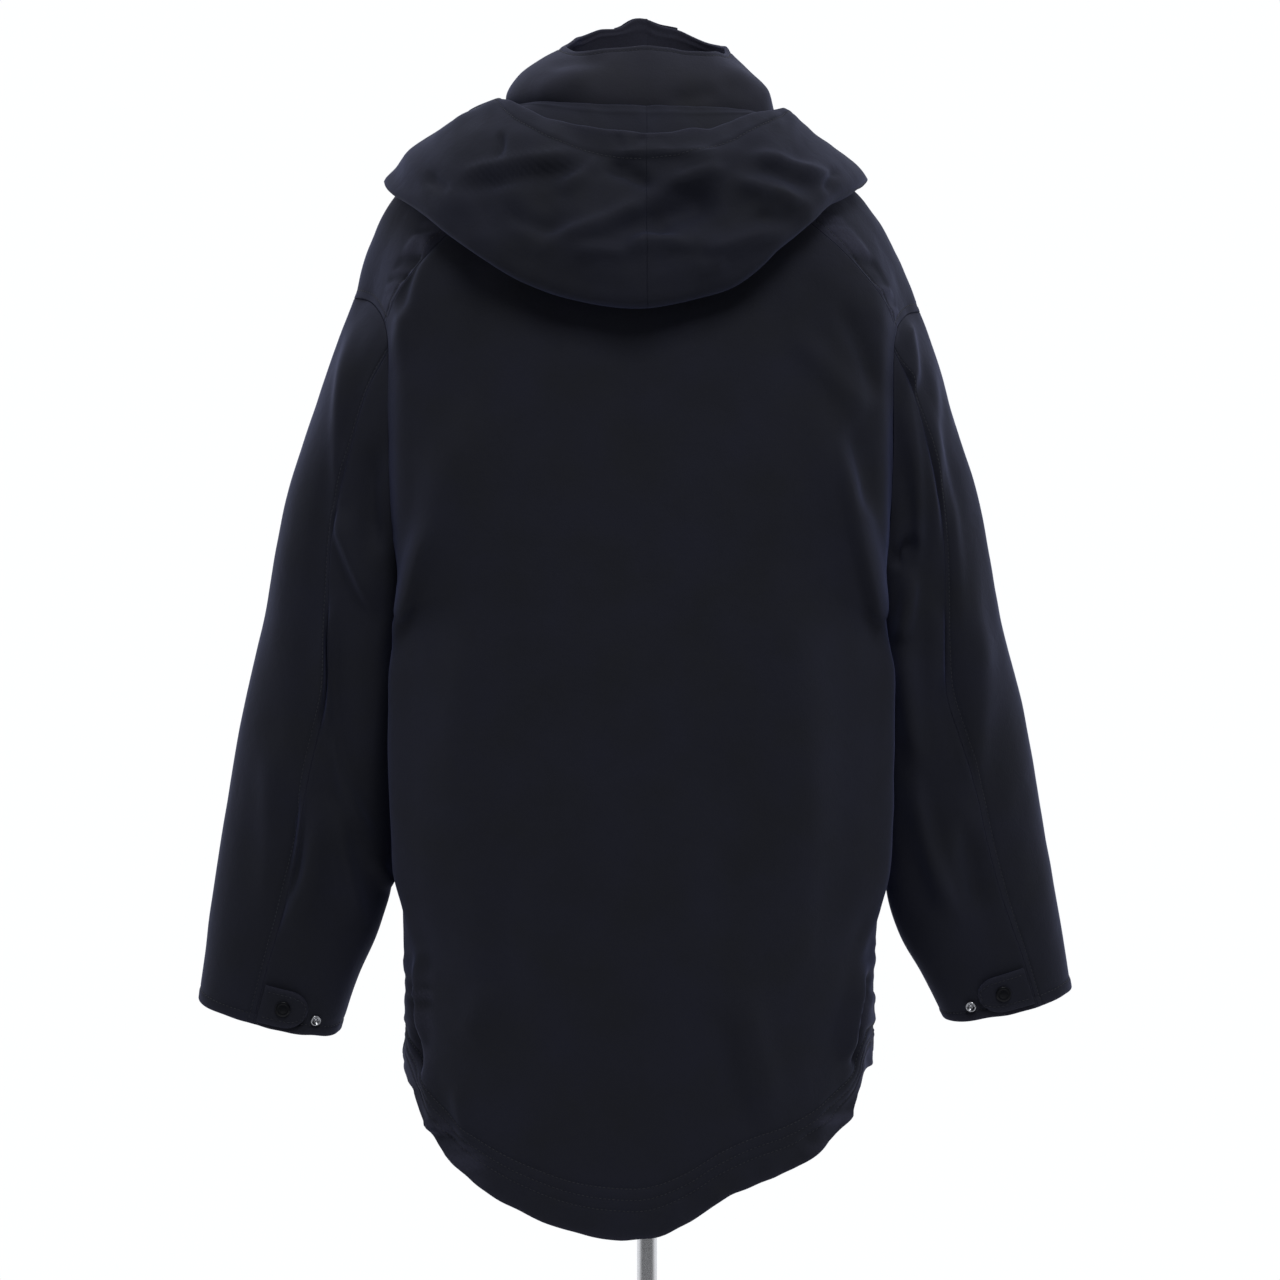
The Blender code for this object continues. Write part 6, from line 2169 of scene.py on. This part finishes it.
# ---- The studio ----
@dataclass
class Studio:
    """A pale floor that fades out, a bright even surround, a large soft lamp and the camera."""

    camera_place: tuple[float, float, float] = (0.00595, 3.0, 1.02)
    lens: float = 99.27  # millimetres, as the sensor
    sensor: float = 36.0
    floor_radius: float = 2.4
    floor_whole: float = 0.6  # where it starts to fade
    floor_drop: float = 0.0005
    floor_sides: int = 96
    floor_colour: str = "#e8e8ea"
    surround: float = 0.95
    surround_colour: str = "#fcfdff"
    near_share: float = 0.13  # how much of it is left on the camera's side
    backdrop: float = 1.02
    lamp_place: tuple[float, float, float] = (-0.35, 2.05, 3.35)
    lamp_aim: float = 1.1  # height over the origin at which it points
    lamp_size: float = 1.1
    lamp_power: float = 39.0

    def hang(self, data: bpy.types.ID, place: Sequence[float], turn: Sequence[float]) -> bpy.types.Object:
        """Puts a camera or lamp in its place, turned from looking straight down."""
        made = bpy.data.objects.new(data.name, data)
        made.location = place
        made.rotation_euler = turn
        bpy.context.scene.collection.objects.link(made)
        return made

    def camera(self) -> None:
        """A level camera behind the jacket."""
        data = bpy.data.cameras.new("camera")
        data.lens = self.lens
        data.sensor_width = self.sensor
        bpy.context.scene.camera = self.hang(data, self.camera_place, (math.pi / 2, 0.0, math.pi))

    def floor(self) -> None:
        """A round floor under the base whose edge fades out."""
        turn = np.arange(self.floor_sides) * 2 * math.pi / self.floor_sides
        rim = points_of(self.floor_radius * np.cos(turn), self.floor_radius * np.sin(turn), -self.floor_drop)
        faces = [[0, k, k % self.floor_sides + 1] for k in range(1, self.floor_sides + 1)]
        made, tree, shader, place = new_material("pale_floor")
        away = add_node(tree, "VectorMath", {"operation": "LENGTH"}, {0: place})
        fade = add_node(tree, "MapRange", {"interpolation_type": "SMOOTHSTEP",
                                           "From Min": self.floor_whole,
                                           "From Max": self.floor_radius,
                                           "To Min": 1.0, "To Max": 0.0},
                        {"Value": away.outputs["Value"]})
        set_node(shader, {"Base Color": linear(self.floor_colour), "Roughness": 0.7},
                 {"Alpha": fade.outputs["Result"]})
        make_object("floor", np.concatenate([[-self.floor_drop * UP], rim]), faces, made)

    def light(self) -> None:
        """An even white surround, dimmer towards the camera's side, and one soft lamp above."""
        bpy.context.scene.view_settings.view_transform = "Standard"
        world = bpy.data.worlds.new("surround")
        bpy.context.scene.world = world
        world.use_nodes = True
        tree = world.node_tree
        way = add_node(tree, "TexCoord").outputs["Generated"]
        parts = add_node(tree, "SeparateXYZ", None, {0: way})
        dim = add_node(tree, "MapRange", {"interpolation_type": "SMOOTHSTEP",
                                          "From Min": -0.35, "From Max": 0.60,
                                          "To Min": self.surround,
                                          "To Max": self.surround * self.near_share},
                       {"Value": parts.outputs["Y"]})
        seen = add_node(tree, "LightPath").outputs["Is Camera Ray"]
        strength = add_node(tree, "Mix", {"data_type": "FLOAT", 3: self.backdrop},
                            {0: seen, 2: dim.outputs["Result"]})
        set_node(tree.nodes["Background"], {"Color": linear(self.surround_colour)},
                 {"Strength": strength.outputs[0]})
        data = bpy.data.lights.new("softbox", "AREA")
        data.size = self.lamp_size
        data.energy = self.lamp_power
        aim = UP * self.lamp_aim - np.array(self.lamp_place)
        tip = math.atan2(math.hypot(aim[0], aim[1]), -aim[2])
        self.hang(data, self.lamp_place, (tip, 0.0, math.atan2(aim[1], aim[0]) - math.pi / 2))

    def build(self) -> None:
        """Sets up everything that isn't the object."""
        self.camera()
        self.floor()
        self.light()


# ---- Everything ----
def dress_jacket() -> None:
    """Builds every cloth panel, its stitching, and the snaps."""
    cloth = BrushedMicrofibre().make()
    # The collar gets a lighter copy of the cloth: painted light from above.
    collar_cloth_painted_lighter = BrushedMicrofibre(name="collar_microfibre_painted_lighter", colour="#22232a", mottle="#262732").make()
    thread = SPUN_THREAD.make()
    enamel = Metal("navy_enamel", "#0c0e14", 0.28, metallic=0.0, specular=0.22).make()
    steel = Metal("bare_steel", "#b9bbc0", 0.22).make()
    body = Body()
    collar = StandCollar(body)
    flap = StormFlap(body, collar)
    sleeves = [
        Sleeve(Side.LEFT, LEFT_SLEEVE, LEFT_SEAMS, LEFT_SLEEVE_FOLDS, LEFT_CUFF, body.armhole(Side.LEFT)),
        Sleeve(Side.RIGHT, RIGHT_SLEEVE, RIGHT_SEAMS, RIGHT_SLEEVE_FOLDS, RIGHT_CUFF,
               body.armhole(Side.RIGHT)),
    ]
    panels = body.panels() + [collar.panel(), flap.panel()] + LyingHood(body).panels()
    for sleeve in sleeves:
        panels += sleeve.panels() + [sleeve.tab()]
    allowances = SeamAllowances()
    allowances.collect(body, sleeves)
    panels[1].pieces = (allowances.build(cloth),)
    for panel in panels:
        rows = panel.build(collar_cloth_painted_lighter if panel.node == "collar" else cloth)
        if rows:
            Stitching().build(f"{panel.stem}_stitches", panel.node, rows, thread)
    cap = Snap()
    for number, (place, out) in enumerate(flap.cap_places(), start=1):
        cap.build(f"flap_snap_{number}", f"flap_cap_{number}", place, out, enamel)
    for sleeve in sleeves:
        name = sleeve.name
        place, out = sleeve.place(sleeve.cuff.cap, sleeve.tab_rise)
        cap.build(f"cuff_snap_{name}", f"cuff_cap_{name}", place + out * TAB_LIFT, out, enamel)
        place, out = sleeve.place(sleeve.cuff.socket, sleeve.socket_rise)
        Socket().build(f"cuff_ring_{name}", f"cuff_socket_{name}", place + out * SEAM, out, steel)


def main() -> None:
    """Builds the studio, the jacket and the form."""
    logging.basicConfig(level=logging.INFO, format="%(name)s %(message)s")
    Studio().build()
    dress_jacket()
    form = DressForm()
    form.torso(COTTON_JERSEY.make())
    form.pole_and_base(Metal("chrome_plate", "#dcdde0", 0.27).make())


if __name__ == "__main__":
    main()
